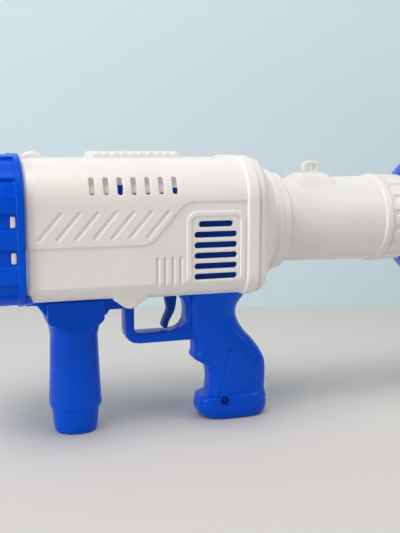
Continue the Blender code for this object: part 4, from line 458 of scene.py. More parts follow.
MOULDED = moulded_group()
GRAIN_STRENGTH, GRAIN_HEIGHT = 0.04, 0.4 * MM
WHITE, WHITE_LOW = (0.87, 0.835, 0.80, 1.0), (0.83, 0.79, 0.75, 1.0)
BLUE, BLUE_LOW = (0.0, 0.085, 0.70, 1.0), (0.0, 0.07, 0.60, 1.0)
# Painted shade: the darker blue is the royal blue darkened, a shaded copy for the trigger and the blue parts
# seen inside the body.
SHADED_BLUE, SHADED_BLUE_LOW = (0.0, 0.04, 0.30, 1.0), (0.0, 0.03, 0.24, 1.0)
PLAIN_SHEEN, BLUE_SHEEN = (1.0, 1.0, 1.0, 1.0), (0.4, 0.65, 1.0, 1.0)
# Painted light: the shell glow colour is a faint glow painted on the inner face of the body shell.
SHELL_PAINTED_GLOW, NO_GLOW = (0.22, 0.21, 0.215, 1.0), (0.0, 0.0, 0.0, 1.0)


def plastic(name, colour, drift, gloss, rubbed, shine=0.5, sheen=PLAIN_SHEEN):
    """A material of the moulded plastic group with its own colours and gloss.

    Shine is how strongly it reflects, and sheen the tint of what it reflects.
    """
    material, tree, shader = new_material(name)
    group = new_node(tree, "Group", {"Colour": colour, "Drift Colour": drift, "Gloss": gloss, "Rubbed": rubbed},
                     node_tree=MOULDED)
    bump = new_node(tree, "Bump", {"Strength": GRAIN_STRENGTH, "Distance": GRAIN_HEIGHT,
                                   "Height": group.outputs["Height"]})
    wire(tree, shader, {"Base Color": group.outputs["Colour"], "Roughness": group.outputs["Roughness"],
                        "Normal": bump.outputs["Normal"], "Specular IOR Level": shine, "Specular Tint": sheen})
    return material


def dress(piece, material, body, slot, *nodes):
    """Material, body and replaced nodes of one finished piece, with edges over 38 degrees sharp. The slot
    argument is not used.
    """
    piece.data.materials.append(material)
    piece.data.set_sharp_from_angle(angle=math.radians(38))
    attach(piece, body)
    if nodes:
        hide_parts(*nodes)
    return piece


white_plastic = plastic("white_satin", WHITE, WHITE_LOW, 0.26, 0.16)
blue_plastic = plastic("royal_blue", BLUE, BLUE_LOW, 0.2, 0.14, 0.25, BLUE_SHEEN)
shaded_blue = plastic("shaded_blue", SHADED_BLUE, SHADED_BLUE_LOW, 0.3, 0.16, 0.2, BLUE_SHEEN)


def white(piece, *nodes):
    """Dresses a white piece of the housing."""
    return dress(piece, white_plastic, "housing", "white_plastic", *nodes)


def blue(piece, *nodes):
    """Dresses a blue piece of the housing."""
    return dress(piece, blue_plastic, "housing", "blue_plastic", *nodes)


# Painted light: the shell's inner face is given a faint emission, a painted glow that stands in for light inside
# the body, so the slots look light inside.
painted_glow_shell = plastic("white_shell_painted_glow", WHITE, WHITE_LOW, 0.26, 0.16)
shell_tree = painted_glow_shell.node_tree
inner_face = new_node(shell_tree, "NewGeometry").outputs["Backfacing"]
painted_glow = new_node(shell_tree, "Mix", {"Factor": inner_face, "A": NO_GLOW, "B": SHELL_PAINTED_GLOW}, data_type="RGBA")
wire(shell_tree, shell_tree.nodes["Principled BSDF"],
     {"Emission Color": painted_glow.outputs["Result"], "Emission Strength": 1.0})

BODY_SCREWS = [f"body_screw_{along}_{level}"
               for level in ("top", "bottom") for along in ("front", "middle", "rear")]
well_spots = np.array([node_middle(node) for node in BODY_SCREWS])
well_half = mm(2.9, 2.0, 2.9, 2.9, 2.9, 2.9)
left_points, left_cut = body_half(np.empty((0, 3)))
# Both halves take the shell plastic with its painted glow on the inner face.
dress(piece_of("body_left", left_points, left_cut), painted_glow_shell, "housing", "white_plastic", "body_shell_left")
right_points, right_cut = body_half(np.column_stack([well_spots, well_half]))
dress(piece_of("body_right", right_points * MIRROR, right_cut, flip=True), painted_glow_shell, "housing",
      "white_plastic", "body_shell_right")


# The screw wells: each screw of the body sits at the end of a moulded tube that opens on the right side, so that
# its head lies below the surface.
WELL_HALF, WELL_PLAY, WELL_SIDES = 2.9 * MM, 0.05 * MM, 32


def full_turn(count):
    """Angles evenly round a full turn."""
    return np.linspace(0, 2 * math.pi, count + 1)[:-1]


def screw_wells(name, spots, half, mouths, floors):
    """Open tubes across the body, their inner faces showing: a ring at each mouth and one at each floor."""
    turn = full_turn(WELL_SIDES)
    circle = np.column_stack([np.cos(turn), np.sin(turn)])
    ring = spots[:, None, None] + np.asarray(half)[:, None, None, None] * circle
    grid = grid_of(ring[..., 0], np.column_stack([mouths, floors])[..., None], ring[..., 1])
    faces = cells(2, WELL_SIDES, round_columns=True)[:, ::-1]
    return mesh_of(name, placed(grid), np.vstack([faces + 2 * WELL_SIDES * i for i in range(len(spots))]))


well_mouths = np.interp(well_spots[:, 1], section[:, 1], -section[:, 0]) - 1.2 * MM
white(screw_wells("body_screw_wells", well_spots, well_half + WELL_PLAY, well_mouths, np.full(6, 8.0 * MM)))


# The lugs: an arched tab at the front of the top seam and a filleted tab under each side, moulded with the
# halves.
TAB_SQUARE = 0.4


def squared(value, power):
    """A sine or cosine raised to a power with its sign kept, which squares off a round form."""
    return np.sign(value) * np.abs(value) ** power


def tab(name, middle, reach, height, across, root, lean=0.0, hanging=False):
    """A moulded tab: at each place along the barrel its section is half a squared ellipse.

    Height gives how far it stands out at a share -1 to 1 of its reach, root how far it goes into the wall, and
    lean how far its tip leans across.
    """
    share, turn = np.linspace(-1, 1, 49), np.linspace(0, math.pi, 41)
    tall = (height(share) + root) * (np.abs(share) < 1)
    stand = tall[:, None] * np.abs(np.sin(turn)) ** TAB_SQUARE
    tipped = 1 - stand / tall.max()
    grid = grid_of((middle[0] + reach * share)[:, None],
                   middle[1] - across * squared(np.cos(turn), TAB_SQUARE) + lean * (1 - tipped ** 2),
                   middle[2] + (stand - root) * (-1 if hanging else 1))
    return piece_of(name, grid, flip=hanging)


white(tab("front_lug", (11.4 * MM, 0, BODY_TALL), 8.6 * MM,
          lambda s: 4.9 * MM * (1 - np.abs(s) ** 2.4), 4.0 * MM, 3.0 * MM))
for side, word in ((-1, "left"), (1, "right")):
    white(tab(f"side_lug_{word}", (76.2 * MM, side * 45.7 * MM, -BODY_TALL), 12.5 * MM,
              lambda s: 6.8 * MM * (0.5 + 0.5 * np.cos(math.pi * s)) ** 0.7, 4.6 * MM, 7.5 * MM,
              -side * 5.0 * MM, hanging=True))


# The baffles: behind each row of slots a white strip, bent to the corner, keeps fingers off the blower. Two
# clips of the blower hold it and show behind the third slot and the last; they are painted in the darker blue,
# painted shade that stands in for the shadow inside the body.
BAFFLE_RADIUS, BAFFLE_WALL, CLIP_HALF, CLIP_LOW, CLIP_IN, CLIP_OUT = mm(26.5, 1.2, 2.8, 20.0, 49.4, 50.8)
CLIPS = mm((68.2, 33.3), (108.9, 30.8))
BLOCK_SQUARE = 0.25


def block(name, low, high):
    """A rounded block between two corners: a sphere whose cosines and sines are raised to a small power."""
    lift, turn = np.linspace(-math.pi / 2, math.pi / 2, 25)[:, None], full_turn(48)
    level = squared(np.cos(lift), BLOCK_SQUARE)
    grid = grid_of(level * squared(np.cos(turn), BLOCK_SQUARE), level * squared(np.sin(turn), BLOCK_SQUARE),
                   squared(np.sin(lift), BLOCK_SQUARE))
    low, high = np.array(low), np.array(high)
    return piece_of(name, (low + high) / 2 + grid * (high - low) / 2, flip=True, round_columns=True)


baffle_turn = np.radians(np.linspace(15, 62, 25))
baffle_grid = grid_of((np.linspace(43, 118, 26) * MM)[:, None],
                      corner_mid[0] - BAFFLE_RADIUS * np.cos(baffle_turn),
                      corner_mid[1] + BAFFLE_RADIUS * np.sin(baffle_turn))
for side, word in ((1, "left"), (-1, "right")):
    strip = piece_of(f"slot_baffle_{word}", baffle_grid * np.array([1, side, 1]), flip=side < 0)
    wall = strip.modifiers.new("wall", "SOLIDIFY")
    wall.thickness = BAFFLE_WALL
    white(strip)
    near, far = sorted((-side * CLIP_IN, -side * CLIP_OUT))
    for number, (middle, top) in enumerate(CLIPS):
        clip = block(f"baffle_clip_{word}_{number + 1}", (middle - CLIP_HALF, near, CLIP_LOW),
                     (middle + CLIP_HALF, far, top))
        # The clips take the darker blue, painted shade.
        dress(clip, shaded_blue, "housing", "deep_blue_plastic")


# The top rail: a white strip of ten rounded bumps, moulded in one and welded on the flat top of the body. Its
# sides are straight and its ends are rounded off.
RAIL_FROM, RAIL_TO, RAIL_HALF, RAIL_LOW, RAIL_SUNK = mm(54.4, 122.4, 20, 2.2, 0.2)
BUMP_PITCH, BUMP_TALL, BUMP_HALF = mm(6.8, 2.8, 3.15)
rail_stops = np.array([RAIL_FROM, RAIL_FROM + 0.8 * MM, RAIL_TO - 0.8 * MM, RAIL_TO])
rail_x = finer(rail_stops[:, None], 0.25 * MM)[:, 0]
bump_at = (rail_x - RAIL_FROM) % BUMP_PITCH - BUMP_PITCH / 2
rail_end = np.minimum(rail_x - RAIL_FROM, RAIL_TO - rail_x)
rail_tall = RAIL_LOW + BUMP_TALL * np.sqrt(np.clip(1 - (np.abs(bump_at) / BUMP_HALF) ** 2.2, 0, 1))
rail_tall = rail_tall * np.sqrt(1 - np.clip(1 - rail_end / (0.7 * MM), 0, 1) ** 2)
rail_turn = np.linspace(0, math.pi, 65)
white(piece_of("top_rail_bumps", grid_of(
    rail_x[:, None], -RAIL_HALF * squared(np.cos(rail_turn), 0.22),
    BODY_TALL - RAIL_SUNK + rail_tall[:, None] * np.abs(np.sin(rail_turn)) ** 0.3)), "top_rail")


# The muzzle shroud: a ring moulded in blue plastic that snaps over the front of the body. Sixteen pockets lie
# between its ribs, two on each side have windows for the body's snap tabs, and its mouth is round.
SHROUD_OUT, MOUTH, RIB_UP, FLATTEN_BELOW = mm(3.5, 47.5, -3.8, 30)
POCKET_FROM, POCKET_TO, POCKET_HALF = mm(-34.8, -5.5, 5.9)
POCKET_DEEP_MM, FLATTEN = 2.3, 0.093
WINDOW_FROM, WINDOW_TO, WINDOW_HALF, WINDOW_EDGE = mm(-10.2, -5.9, 4.4, -0.3)
CATCH_FROM, CATCH_TO, CATCH_HALF, CATCH_IN, CATCH_OUT = mm(-9.9, -6.2, 4.1, 49.0, 55.0)
shroud_profile = np.array([
    (-37.4, MOUTH / MM - 42.0, 1.0), (-39.6, MOUTH / MM - 42.0, 1.0), (-40.0, MOUTH / MM - 41.4, 1.0),
    (-40.0, 2.2, 0.0), (-38.9, 3.5, 0.0), (-0.9, 3.5, 0.0), (-0.3, 2.9, 0.0), (-0.3, -3.0, 0.0),
]) * np.array([MM, MM, 1.0])
shroud_line = finer(eased(shroud_profile, 0.7 * MM), 0.7 * MM)
shroud_x, shroud_offset, shroud_round = shroud_line.T[:, :, None]
shroud_left, shroud_out = barrel(shroud_line, section, section_out)
outer_line = section + SHROUD_OUT * section_out
outer_run = run_along(outer_line)
datum = np.interp(RIB_UP, outer_line[:, 1], outer_run)
pitch = np.where(outer_run > datum, (outer_run[-1] - datum) / 4, datum / 4)
off_pocket = np.abs(outer_run - datum) % pitch - pitch / 2
window_up = RIB_UP + np.array([pitch[-1], -pitch[0]]) / 2
pocket = rounded_box(shroud_x, off_pocket, (POCKET_FROM, -POCKET_HALF), (POCKET_TO, POCKET_HALF), 1.0 * MM)
outside = (shroud_round < 0.01) & (shroud_x > -38.5 * MM) & (shroud_offset > 3.2 * MM)
field = soft_step(shroud_x, -35.6, -35.0) * soft_step(-shroud_x, 5.0, 5.6)
sink = (soft_step(-pocket, -0.3, 0.4) * POCKET_DEEP_MM * MM + 0.8 * MM * field) * outside
shroud_left[..., 1:] = shroud_left[..., 1:] - sink[..., None] * shroud_out

# The lower corners lie a little flatter than the body's own.
shroud_left[..., 2] -= FLATTEN * np.minimum(shroud_left[..., 2] + FLATTEN_BELOW, 0) * (1 - shroud_round)
window = np.minimum.reduce([
    rounded_box(shroud_left[..., 0], shroud_left[..., 2], (WINDOW_FROM, height - WINDOW_HALF),
                (WINDOW_TO, height + WINDOW_HALF), 0.3 * MM) for height in window_up
])
in_window = np.where(outside & (shroud_left[..., 1] < -40 * MM), window, NOWHERE) < WINDOW_EDGE
shroud_left[..., 1] += 1.6 * MM * in_window
shroud_faces = cells(*in_window.shape)
shroud_faces = shroud_faces[~in_window.ravel()[shroud_faces].all(-1)]
blue(mesh_of("shroud_ring", placed(np.vstack([shroud_left, shroud_left * MIRROR])),
             np.vstack([shroud_faces, shroud_faces[:, ::-1] + in_window.size])), "muzzle_shroud")
for side, word in ((-1, "left"), (1, "right")):
    near, far = sorted((side * CATCH_IN, side * CATCH_OUT))
    for number, height in enumerate(window_up):
        white(block(f"snap_tab_{word}_{number + 1}", (CATCH_FROM, near, height - CATCH_HALF),
                    (CATCH_TO, far, height + CATCH_HALF)))


# The nozzle plate: a moulded disc behind the mouth with thirty-seven short tubes that hold the bubble mix. Air
# from the blower comes through them.
PLATE_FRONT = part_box("nozzle_plate")[0].x - SHOULDER
PLATE_RADIUS, HOLE, HOLE_PITCH, HOLE_DEPTH, HOLE_RIM = mm(48.2, 4.4, 13, 2.8, 0.9)
ring_spots = np.vstack([[[0.0, 0.0]]] + [
    np.column_stack([HOLE_PITCH * ring * np.cos(turn), HOLE_PITCH * ring * np.sin(turn)])
    for ring in (1, 2, 3) for turn in [np.arange(6 * ring) * 2 * math.pi / (6 * ring)]
])
flat_line = np.arange(-PLATE_RADIUS, 48.3 * MM, CELL)
plate_flat = np.stack(np.meshgrid(flat_line, flat_line, indexing="ij"), -1)
plate_moved, plate_cut, hole_gap = pierce(plate_flat, capsules(plate_flat, ring_spots, ring_spots, HOLE), CELL)
plate_rim = soft_step(-np.abs(hole_gap - 0.5 * MM), -0.9, -0.4)
plate_x = PLATE_FRONT + HOLE_DEPTH * plate_cut - HOLE_RIM * plate_rim * ~plate_cut
white(piece_of("nozzle_disc", grid_of(plate_x, plate_moved[..., 0], plate_moved[..., 1]), plate_cut,
               np.hypot(plate_flat[..., 0], plate_flat[..., 1]) >= PLATE_RADIUS, flip=True), "nozzle_plate")


# The tail: a white round tube that plugs into the neck and ends in a raised ring, a white fluted collar, and a
# blue bell that flares like a horn and is open at the back.
AROUND, FLUTES = 160, 18


def turned(name, line, flutes=None):
    """A round piece about the barrel's axis from a line of (along, radius), with flutes cut where asked.

    Flutes takes the turn and gives the share by which each row's cut depth, its third column, is applied.
    """
    turn = full_turn(AROUND * (3 if flutes else 1))
    radius = line[:, 1:2]
    if flutes:
        radius = radius - line[:, 2:3] * flutes(turn)
    grid = grid_of(line[:, :1], -radius * np.sin(turn), -radius * np.cos(turn))
    return piece_of(name, grid, round_columns=True)


tube_line = eased(mm(
    (206.0, 34.2), (209.5, 34.3), (295.7, 35.9), (296.0, 37.2), (296.8, 37.7), (301.0, 37.7), (301.8, 36.9),
    (303.5, 36.8), (303.5, 33.0), (206.0, 33.0)), 0.6 * MM)
white(turned("tail_barrel", finer(tube_line, 4 * MM)), "tail_tube")
collar_line = eased(mm(
    (303.8, 33.0, 0), (303.8, 36.7, 0), (304.2, 36.8, 0), (304.6, 36.8, 0.0), (305.8, 36.8, 1.3),
    (323.0, 36.8, 1.3), (324.3, 36.2, 1.2), (324.3, 33.0, 0)), 0.5 * MM)
white(turned("fluted_collar", finer(collar_line, 0.8 * MM),
             lambda turn: soft_step(np.cos(FLUTES * turn), 0.0, 0.75, 1.0)), "tail_collar")
bell_line = eased(mm(
    (324.6, 33.0), (324.6, 35.8), (325.0, 36.2), (328.1, 36.4), (330.0, 38.3), (342.1, 50.3), (342.9, 50.5),
    (343.1, 50.1), (343.1, 48.4), (342.1, 47.9), (329.4, 34.2), (328.6, 33.8), (327.4, 33.6), (327.0, 32.6),
    (327.0, 12.0), (327.0, 0.02)), 0.8 * MM)
blue(turned("bell_horn", finer(bell_line, 1.5 * MM)), "tail_bell")


# The strap saddle: a white pad moulded to the tube's curve, with an upright loop that a strap clips to. The pad
# slopes down to the tube at both ends.
PAD_FROM, PAD_TO, PAD_HALF, PAD_THICK = mm(219.7, 260.7, 22.0, 4.8)
LOOP_MIDDLE, LOOP_DEEP, LOOP_POINTS = mm(242.9, 43.1), 3.0 * MM, 64


def oval_reach(turn, power):
    """How far the squared oval |x|^power + |y|^power = 1 reaches at each turn."""
    return (np.abs(np.cos(turn)) ** power + np.abs(np.sin(turn)) ** power) ** (-1 / power)


pad_x = np.linspace(PAD_FROM, PAD_TO, 97)[:, None]
pad_y = np.linspace(-PAD_HALF, PAD_HALF, 81)
pad_edge = rounded_box(pad_x, pad_y, (PAD_FROM, -PAD_HALF), (PAD_TO, PAD_HALF), 4 * MM)
tube_radius = np.interp(pad_x, mm(209, 294), mm(34.3, 35.9))
pad_round = np.sqrt(tube_radius ** 2 - (pad_y * 0.99) ** 2)
pad_slope = soft_step(np.minimum(pad_x - PAD_FROM, PAD_TO - pad_x), -1.0, 7.0)
pad_top = pad_round + PAD_THICK * pad_slope * soft_step(-pad_edge, -1.0, 10.0) - 0.4 * MM
white(piece_of("strap_pad", grid_of(pad_x, pad_y, pad_top)), "strap_saddle")

# The loop is a bar of squared section, carried round a squared oval that is thinner at the top.
loop_turn, bar_turn = full_turn(LOOP_POINTS), full_turn(32)
loop_out = np.column_stack([np.cos(loop_turn), np.sin(loop_turn)])
loop_reach = np.column_stack([np.full(LOOP_POINTS, 5.65), np.where(loop_out[:, 1] > 0, 4.05, 4.9)]) * MM
loop_path = LOOP_MIDDLE + loop_out * oval_reach(loop_turn, 3)[:, None] * loop_reach
loop_half = (2.45 - 0.8 * np.maximum(loop_out[:, 1], 0) ** 2) * MM
loop_wide = loop_half[:, None] * squared(np.cos(bar_turn), 0.5)
loop_plane = loop_path[:, None] + loop_out[:, None] * loop_wide[..., None]
loop_grid = grid_of(loop_plane[..., 0], LOOP_DEEP * squared(np.sin(bar_turn), 0.5), loop_plane[..., 1])
white(piece_of("strap_loop", loop_grid, round_rows=True, round_columns=True))


# The lower frame: two blue moulded halves that carry the rail under the body, the trigger guard and the pistol
# grip. They are screwed together from the right and keyed into the body.
FLOOR = -AXIS
FRAME_TOP = 110.4 * MM - AXIS
YOKE_LOW, YOKE_TOP = mm(-51.5, -44.6)


def closed_ease(points, reach):
    """A closed line with each corner eased as in eased()."""
    points = np.asarray(points, float)
    return eased(np.vstack([points[-1:], points, points[:1]]), reach)[1:-1]


def slab(name, outline, half, edge):
    """A flat moulded bar: an outline run against the clock in the upright plane, made thick, with round edges.

    Each ring of points is the outline moved inwards by edge times one minus the cosine of a quarter turn while
    it goes out across by edge times the sine. The ends are closed by flat faces.
    """
    ahead, behind = np.roll(outline, -1, axis=0) - outline, outline - np.roll(outline, 1, axis=0)
    ahead, behind = (line / np.linalg.norm(line, axis=1, keepdims=True) for line in (ahead, behind))
    run = ahead + behind
    run /= np.linalg.norm(run, axis=1, keepdims=True)
    turn = np.linspace(math.pi / 2, 0, 6)
    inset = np.concatenate([edge * (1 - np.cos(turn)), edge * (1 - np.cos(turn[::-1]))])
    across = np.concatenate([-(half - edge) - edge * np.sin(turn), (half - edge) + edge * np.sin(turn[::-1])])
    plane = outline + inset[:, None, None] * np.column_stack([-run[:, 1], run[:, 0]])
    first = np.arange(len(outline))
    return piece_of(name, grid_of(plane[..., 0], across[:, None], plane[..., 1]), round_columns=True,
                    caps=(first[::-1], first + (len(inset) - 1) * len(outline)))


rail_top = FRAME_TOP / MM
blue(slab("frame_rail", closed_ease(mm(
    (3.0, rail_top), (3.0, rail_top - 7), (11.5, rail_top - 7), (19.0, rail_top - 17.4), (65.4, rail_top - 17.4),
    (67.4, rail_top - 13.4), (85.0, rail_top - 13.4), (85.0, rail_top)), 1.5 * MM), 9 * MM, 1.2 * MM))

# A yoke at the rail's front end hugs the body's lower corners, with its rear edges cut at a slant.
yoke_last = int(np.searchsorted(section[:, 1], YOKE_TOP))
yoke_line, yoke_out = (np.vstack([half[yoke_last:0:-1] * np.array([-1, 1]), half[:yoke_last + 1]])
                       for half in (section, section_out))
yoke_rise = np.array([(0.0, -1.5), (0.0, 0.1), (0.04, 0.3), (0.96, 0.3), (1.0, 0.1), (1.0, -2.6)])
yoke_grid, _ = barrel(np.column_stack([yoke_rise * np.array([1, MM]), np.zeros(6)]), yoke_line, yoke_out)
yoke_grid[..., 0] *= np.interp(yoke_line[:, 1], [YOKE_LOW, YOKE_TOP], mm(5.6, 2.2))
blue(piece_of("rail_yoke", yoke_grid))

# The guard is carried from its inner line to its outer one, with a lip on both sides.
guard_in = closed_ease(mm((87.6, 105.8), (87.6, 76.0), (131.3, 76.0), (131.3, 105.8)),
                       mm(1.5, 5.0, 14.0, 14.0)) + np.array([0, FLOOR])
guard_out = closed_ease(mm((80.3, 110.4), (80.3, 67.4), (147.0, 67.4), (147.0, 110.4)),
                        mm(0.5, 12.0, 1.0, 1.0)) + np.array([0, FLOOR])
guard_side = np.array([(0.0, 7.2), (0.06, 8.6), (0.1, 9.0), (0.24, 9.0), (0.27, 8.1), (0.84, 8.1), (0.95, 7.6),
                       (1.0, 6.4)])
guard_section = np.vstack([guard_side * np.array([1, MM]), guard_side[::-1] * np.array([1, -MM])])
guard_share = guard_section[:, :1]
guard_plane = (1 - guard_share) * guard_in[:, None] + guard_share * guard_out[:, None]
guard_grid = grid_of(guard_plane[..., 0], guard_section[:, 1], guard_plane[..., 1])
blue(piece_of("trigger_guard", guard_grid, round_rows=True, round_columns=True), "grip_frame_left",
     "grip_frame_right")

# The grip's levels give its height, its reach to the front and to the back, and what its half width gains.
GRIP_MIDDLE, GRIP_HALF, GRIP_TOP, GRIP_CELL = mm(166.0, 17.0, 110.4, 0.7)
OVAL_POINTS = 236
DOOR_PLAY, DOOR_SINK, DOOR_TAB, SHELF_Y = mm(0.16, 0.35, 4.6, -10.4)
DOOR_SCREW = mm(161.0, 16.5)
GRIP_WELL = np.array([[180.0 * MM, 9.3 * MM + FLOOR]])
grip_levels = mm(
    (0.0, 15.5, 28, -1), (1.1, 19.5, 32, 0.5), (3.5, 22.8, 34.5, 1.4), (7.4, 24.8, 35.6, 2), (12.1, 25.2, 36, 2),
    (16.0, 24.4, 35.7, 2), (18.6, 22.8, 35.2, 1.5), (20.6, 17.5, 34.6, 0), (24.0, 16.2, 34.4, 0),
    (29.3, 15.5, 34.6, 0), (34.7, 15.3, 34.8, 0), (39.6, 16, 34.8, 0), (44.0, 18.2, 34.5, 0),
    (46.9, 22.2, 34, 0), (49.8, 27, 32.8, 0), (52.8, 29.2, 31.2, 0), (57.6, 28.3, 28.4, 0), (62.0, 28.4, 25, 0),
    (65.2, 28.8, 22.6, -0.2), (71.7, 31.5, 16.6, -0.5), (79.4, 33.5, 11.8, -1), (87.6, 34, 9, -1),
    (94.5, 34, 10.3, -0.5), (102.2, 33, 15.6, 1), (110.4, 32, 20, 3))


def flowing(places, values, at):
    """Values between given places on cubic pieces whose slopes are the mean of the neighbours'."""
    slope = np.gradient(values, places, axis=0)
    i = np.clip(np.searchsorted(places, at) - 1, 0, len(places) - 2)
    long = (places[i + 1] - places[i])[:, None]
    t = (at - places[i])[:, None] / long
    return ((2 * t ** 3 - 3 * t ** 2 + 1) * values[i] + (t ** 3 - 2 * t ** 2 + t) * long * slope[i]
            + (3 * t ** 2 - 2 * t ** 3) * values[i + 1] + (t ** 3 - t ** 2) * long * slope[i + 1])


def polygon_gap(flat, outline, grow=0.0):
    """Signed distance to a closed outline, negative inside and less its growth, and the direction away."""
    start, end = outline, np.roll(outline, -1, axis=0)
    gap, away = capsules(flat, start, end, 0.0)
    x, z = flat[..., 0], flat[..., 1]
    above_start, above_end = start[:, 1] > z[..., None], end[:, 1] > z[..., None]
    rise = np.where(end[:, 1] == start[:, 1], 1e-12, end[:, 1] - start[:, 1])
    crossing = start[:, 0] + (z[..., None] - start[:, 1]) / rise * (end[:, 0] - start[:, 0])
    inside = ((above_start != above_end) & (x[..., None] < crossing)).sum(-1) % 2 == 1
    return np.where(inside, -gap, gap) - grow, np.where(inside[..., None], -away, away)


def drill(grid, spots, cell, past, wall):
    """Cuts the mouths of screw wells into a grid, past a distance to its right, and gives the cut points."""
    flat = grid[..., [0, 2]]
    grid[..., [0, 2]], cut, _ = pierce(flat, capsules(flat, spots, spots, WELL_HALF), cell, grid[..., 1] > past)
    grid[..., 1] -= wall * cut
    return cut


tab_turn = np.radians(np.linspace(0, -180, 19))
door_outline = np.vstack([
    eased(mm((159.1, 30.0), (164.8, 58.5), (177.4, 58.5), (186.8, 48.3), (186.8, 21.5), (167.6, 21.5),
             (165.6, 18.5)), 1.8 * MM),
    DOOR_SCREW + DOOR_TAB * np.column_stack([np.cos(tab_turn), np.sin(tab_turn)]),
]) + np.array([0, FLOOR])

# Each level is a squared oval. The turns of its points are spaced evenly along a typical one.
grip_z = np.arange(0.0, 112.0 * MM, GRIP_CELL)
grip_shape = flowing(grip_levels[:, 0], grip_levels[:, 1:], np.clip(grip_z, 0, GRIP_TOP))
grip_power = np.interp(grip_z, mm(58, 76, 100, 110), [3.0, 2.1, 2.1, 2.5])
fine_turn = np.linspace(0, 2 * math.pi, 4001)
fine_oval = np.column_stack([squared(np.cos(fine_turn), 2 / 3), squared(np.sin(fine_turn), 2 / 3)])
fine_run = run_along(fine_oval * [31, 17])
oval_at = np.linspace(0, fine_run[-1], OVAL_POINTS + 1)[:-1]
even_x, even_y = (np.interp(oval_at, fine_run, column) for column in fine_oval.T)
oval_turn = np.arctan2(even_y, even_x)


def grip_side(x, z):
    """Half width of the pistol grip at a place along and up, from the squared oval of that level."""
    shape = np.stack([np.interp(z - FLOOR, grip_z, column) for column in grip_shape.T], -1)
    power = np.interp(z - FLOOR, grip_z, grip_power)
    middle = GRIP_MIDDLE + (shape[..., 1] - shape[..., 0]) / 2
    share = np.abs((x - middle) / ((shape[..., 0] + shape[..., 1]) / 2))
    return (GRIP_HALF + shape[..., 2]) * np.clip(1 - share ** power, 0, 1) ** (1 / power)


grip_round = oval_reach(oval_turn, grip_power[:, None])
oval_x, oval_y = grip_round * np.cos(oval_turn), grip_round * np.sin(oval_turn)

# A line sets off the front strap, and two more run round the foot.
strap = np.exp(-((np.abs(oval_y) - 0.66) / 0.045) ** 2) * (oval_x < 0) \
    * (soft_step(grip_z, 21, 24) * soft_step(58 * MM - grip_z, 0, 6))[:, None]
rings = np.exp(-((grip_z - 13.4 * MM) / (0.75 * MM)) ** 2) \
    + 0.6 * np.exp(-((grip_z - 4.6 * MM) / (0.7 * MM)) ** 2)
tuck = 1 - 0.022 * strap - 0.026 * rings[:, None] - 0.015 * (np.abs(oval_y) < 0.01)
reach_front, reach_back, gain = grip_shape.T[:, :, None]
grip = grid_of(GRIP_MIDDLE + (reach_back - reach_front) / 2 + (reach_front + reach_back) / 2 * oval_x * tuck,
               (GRIP_HALF + gain) * oval_y * tuck, (FLOOR + grip_z)[:, None])

# The door's opening is cut on the left, and a well for the lowest screw on the right.
grip_flat = grip[..., [0, 2]]
moved, door_cut, door_gap = pierce(grip_flat, polygon_gap(grip_flat, door_outline, DOOR_PLAY / 2), GRIP_CELL,
                                   grip[..., 1] < -8 * MM)
near_door = door_gap < GRIP_CELL
grip[..., [0, 2]] = np.where(near_door[..., None], moved, grip_flat)
grip[..., 1] = np.where(near_door, -grip_side(grip[..., 0], grip[..., 2]), grip[..., 1])
grip[..., 1] += DOOR_SINK * edge_lip(door_gap) * ~door_cut
grip[..., 1] = np.where(door_cut, SHELF_Y, grip[..., 1])
base_cut = drill(grip, GRIP_WELL, GRIP_CELL, 10 * MM, 3.0 * MM)
foot = np.arange(OVAL_POINTS)
blue(piece_of("pistol_grip", grip, door_cut | base_cut, flip=True, round_columns=True,
              caps=(foot, foot[::-1] + (len(grip_z) - 1) * OVAL_POINTS)))
blue(screw_wells("grip_screw_well", GRIP_WELL, [2.95 * MM], [17.0 * MM], [9.0 * MM]))


# The battery door: a blue moulded cover flush with the left of the grip, held by one screw through its tab,
# over a bay that holds the wrapped battery pack.
DOOR_CELL, DOOR_RIM_Y, SCREW_SEAT, SCREW_SEAT_Y = mm(0.6, -11.0, 3.2, -15.1)
POCKET_PLAY, POCKET_DEEP = mm(0.4, 8.0)


def flat_field(x_from, x_to, z_from, z_to):
    """An even field of points along and up, its heights counted from the floor."""
    along = np.arange(x_from * MM, x_to * MM, DOOR_CELL)
    up = np.arange(z_from * MM, z_to * MM, DOOR_CELL) + FLOOR
    return np.stack(np.meshgrid(along, up, indexing="ij"), -1)


door_flat = flat_field(154.5, 189.0, 10.0, 60.5)
edge_gap, edge_away = polygon_gap(door_flat, door_outline, -DOOR_PLAY / 2)
on_edge, beyond = np.abs(edge_gap) < 0.3 * MM, edge_gap >= 0.3 * MM
shift = np.where(on_edge, -edge_gap, np.where(beyond, 0.02 * MM - edge_gap, 0.0)) * (edge_gap < 1.0 * MM)
door_flat = door_flat + edge_away * shift[..., None]
door_y = -grip_side(door_flat[..., 0], door_flat[..., 1])
screw_gap = np.hypot(door_flat[..., 0] - DOOR_SCREW[0], door_flat[..., 1] - FLOOR - DOOR_SCREW[1])
door_y += DOOR_SINK * edge_lip(edge_gap)
door_y = np.where(screw_gap < SCREW_SEAT, np.maximum(door_y, SCREW_SEAT_Y), door_y)
door_y = np.where(beyond, DOOR_RIM_Y, door_y)
dress(piece_of("grip_door", grid_of(door_flat[..., 0], door_y, door_flat[..., 1]), beyond), blue_plastic,
      "battery_door", "blue_plastic", "battery_door")

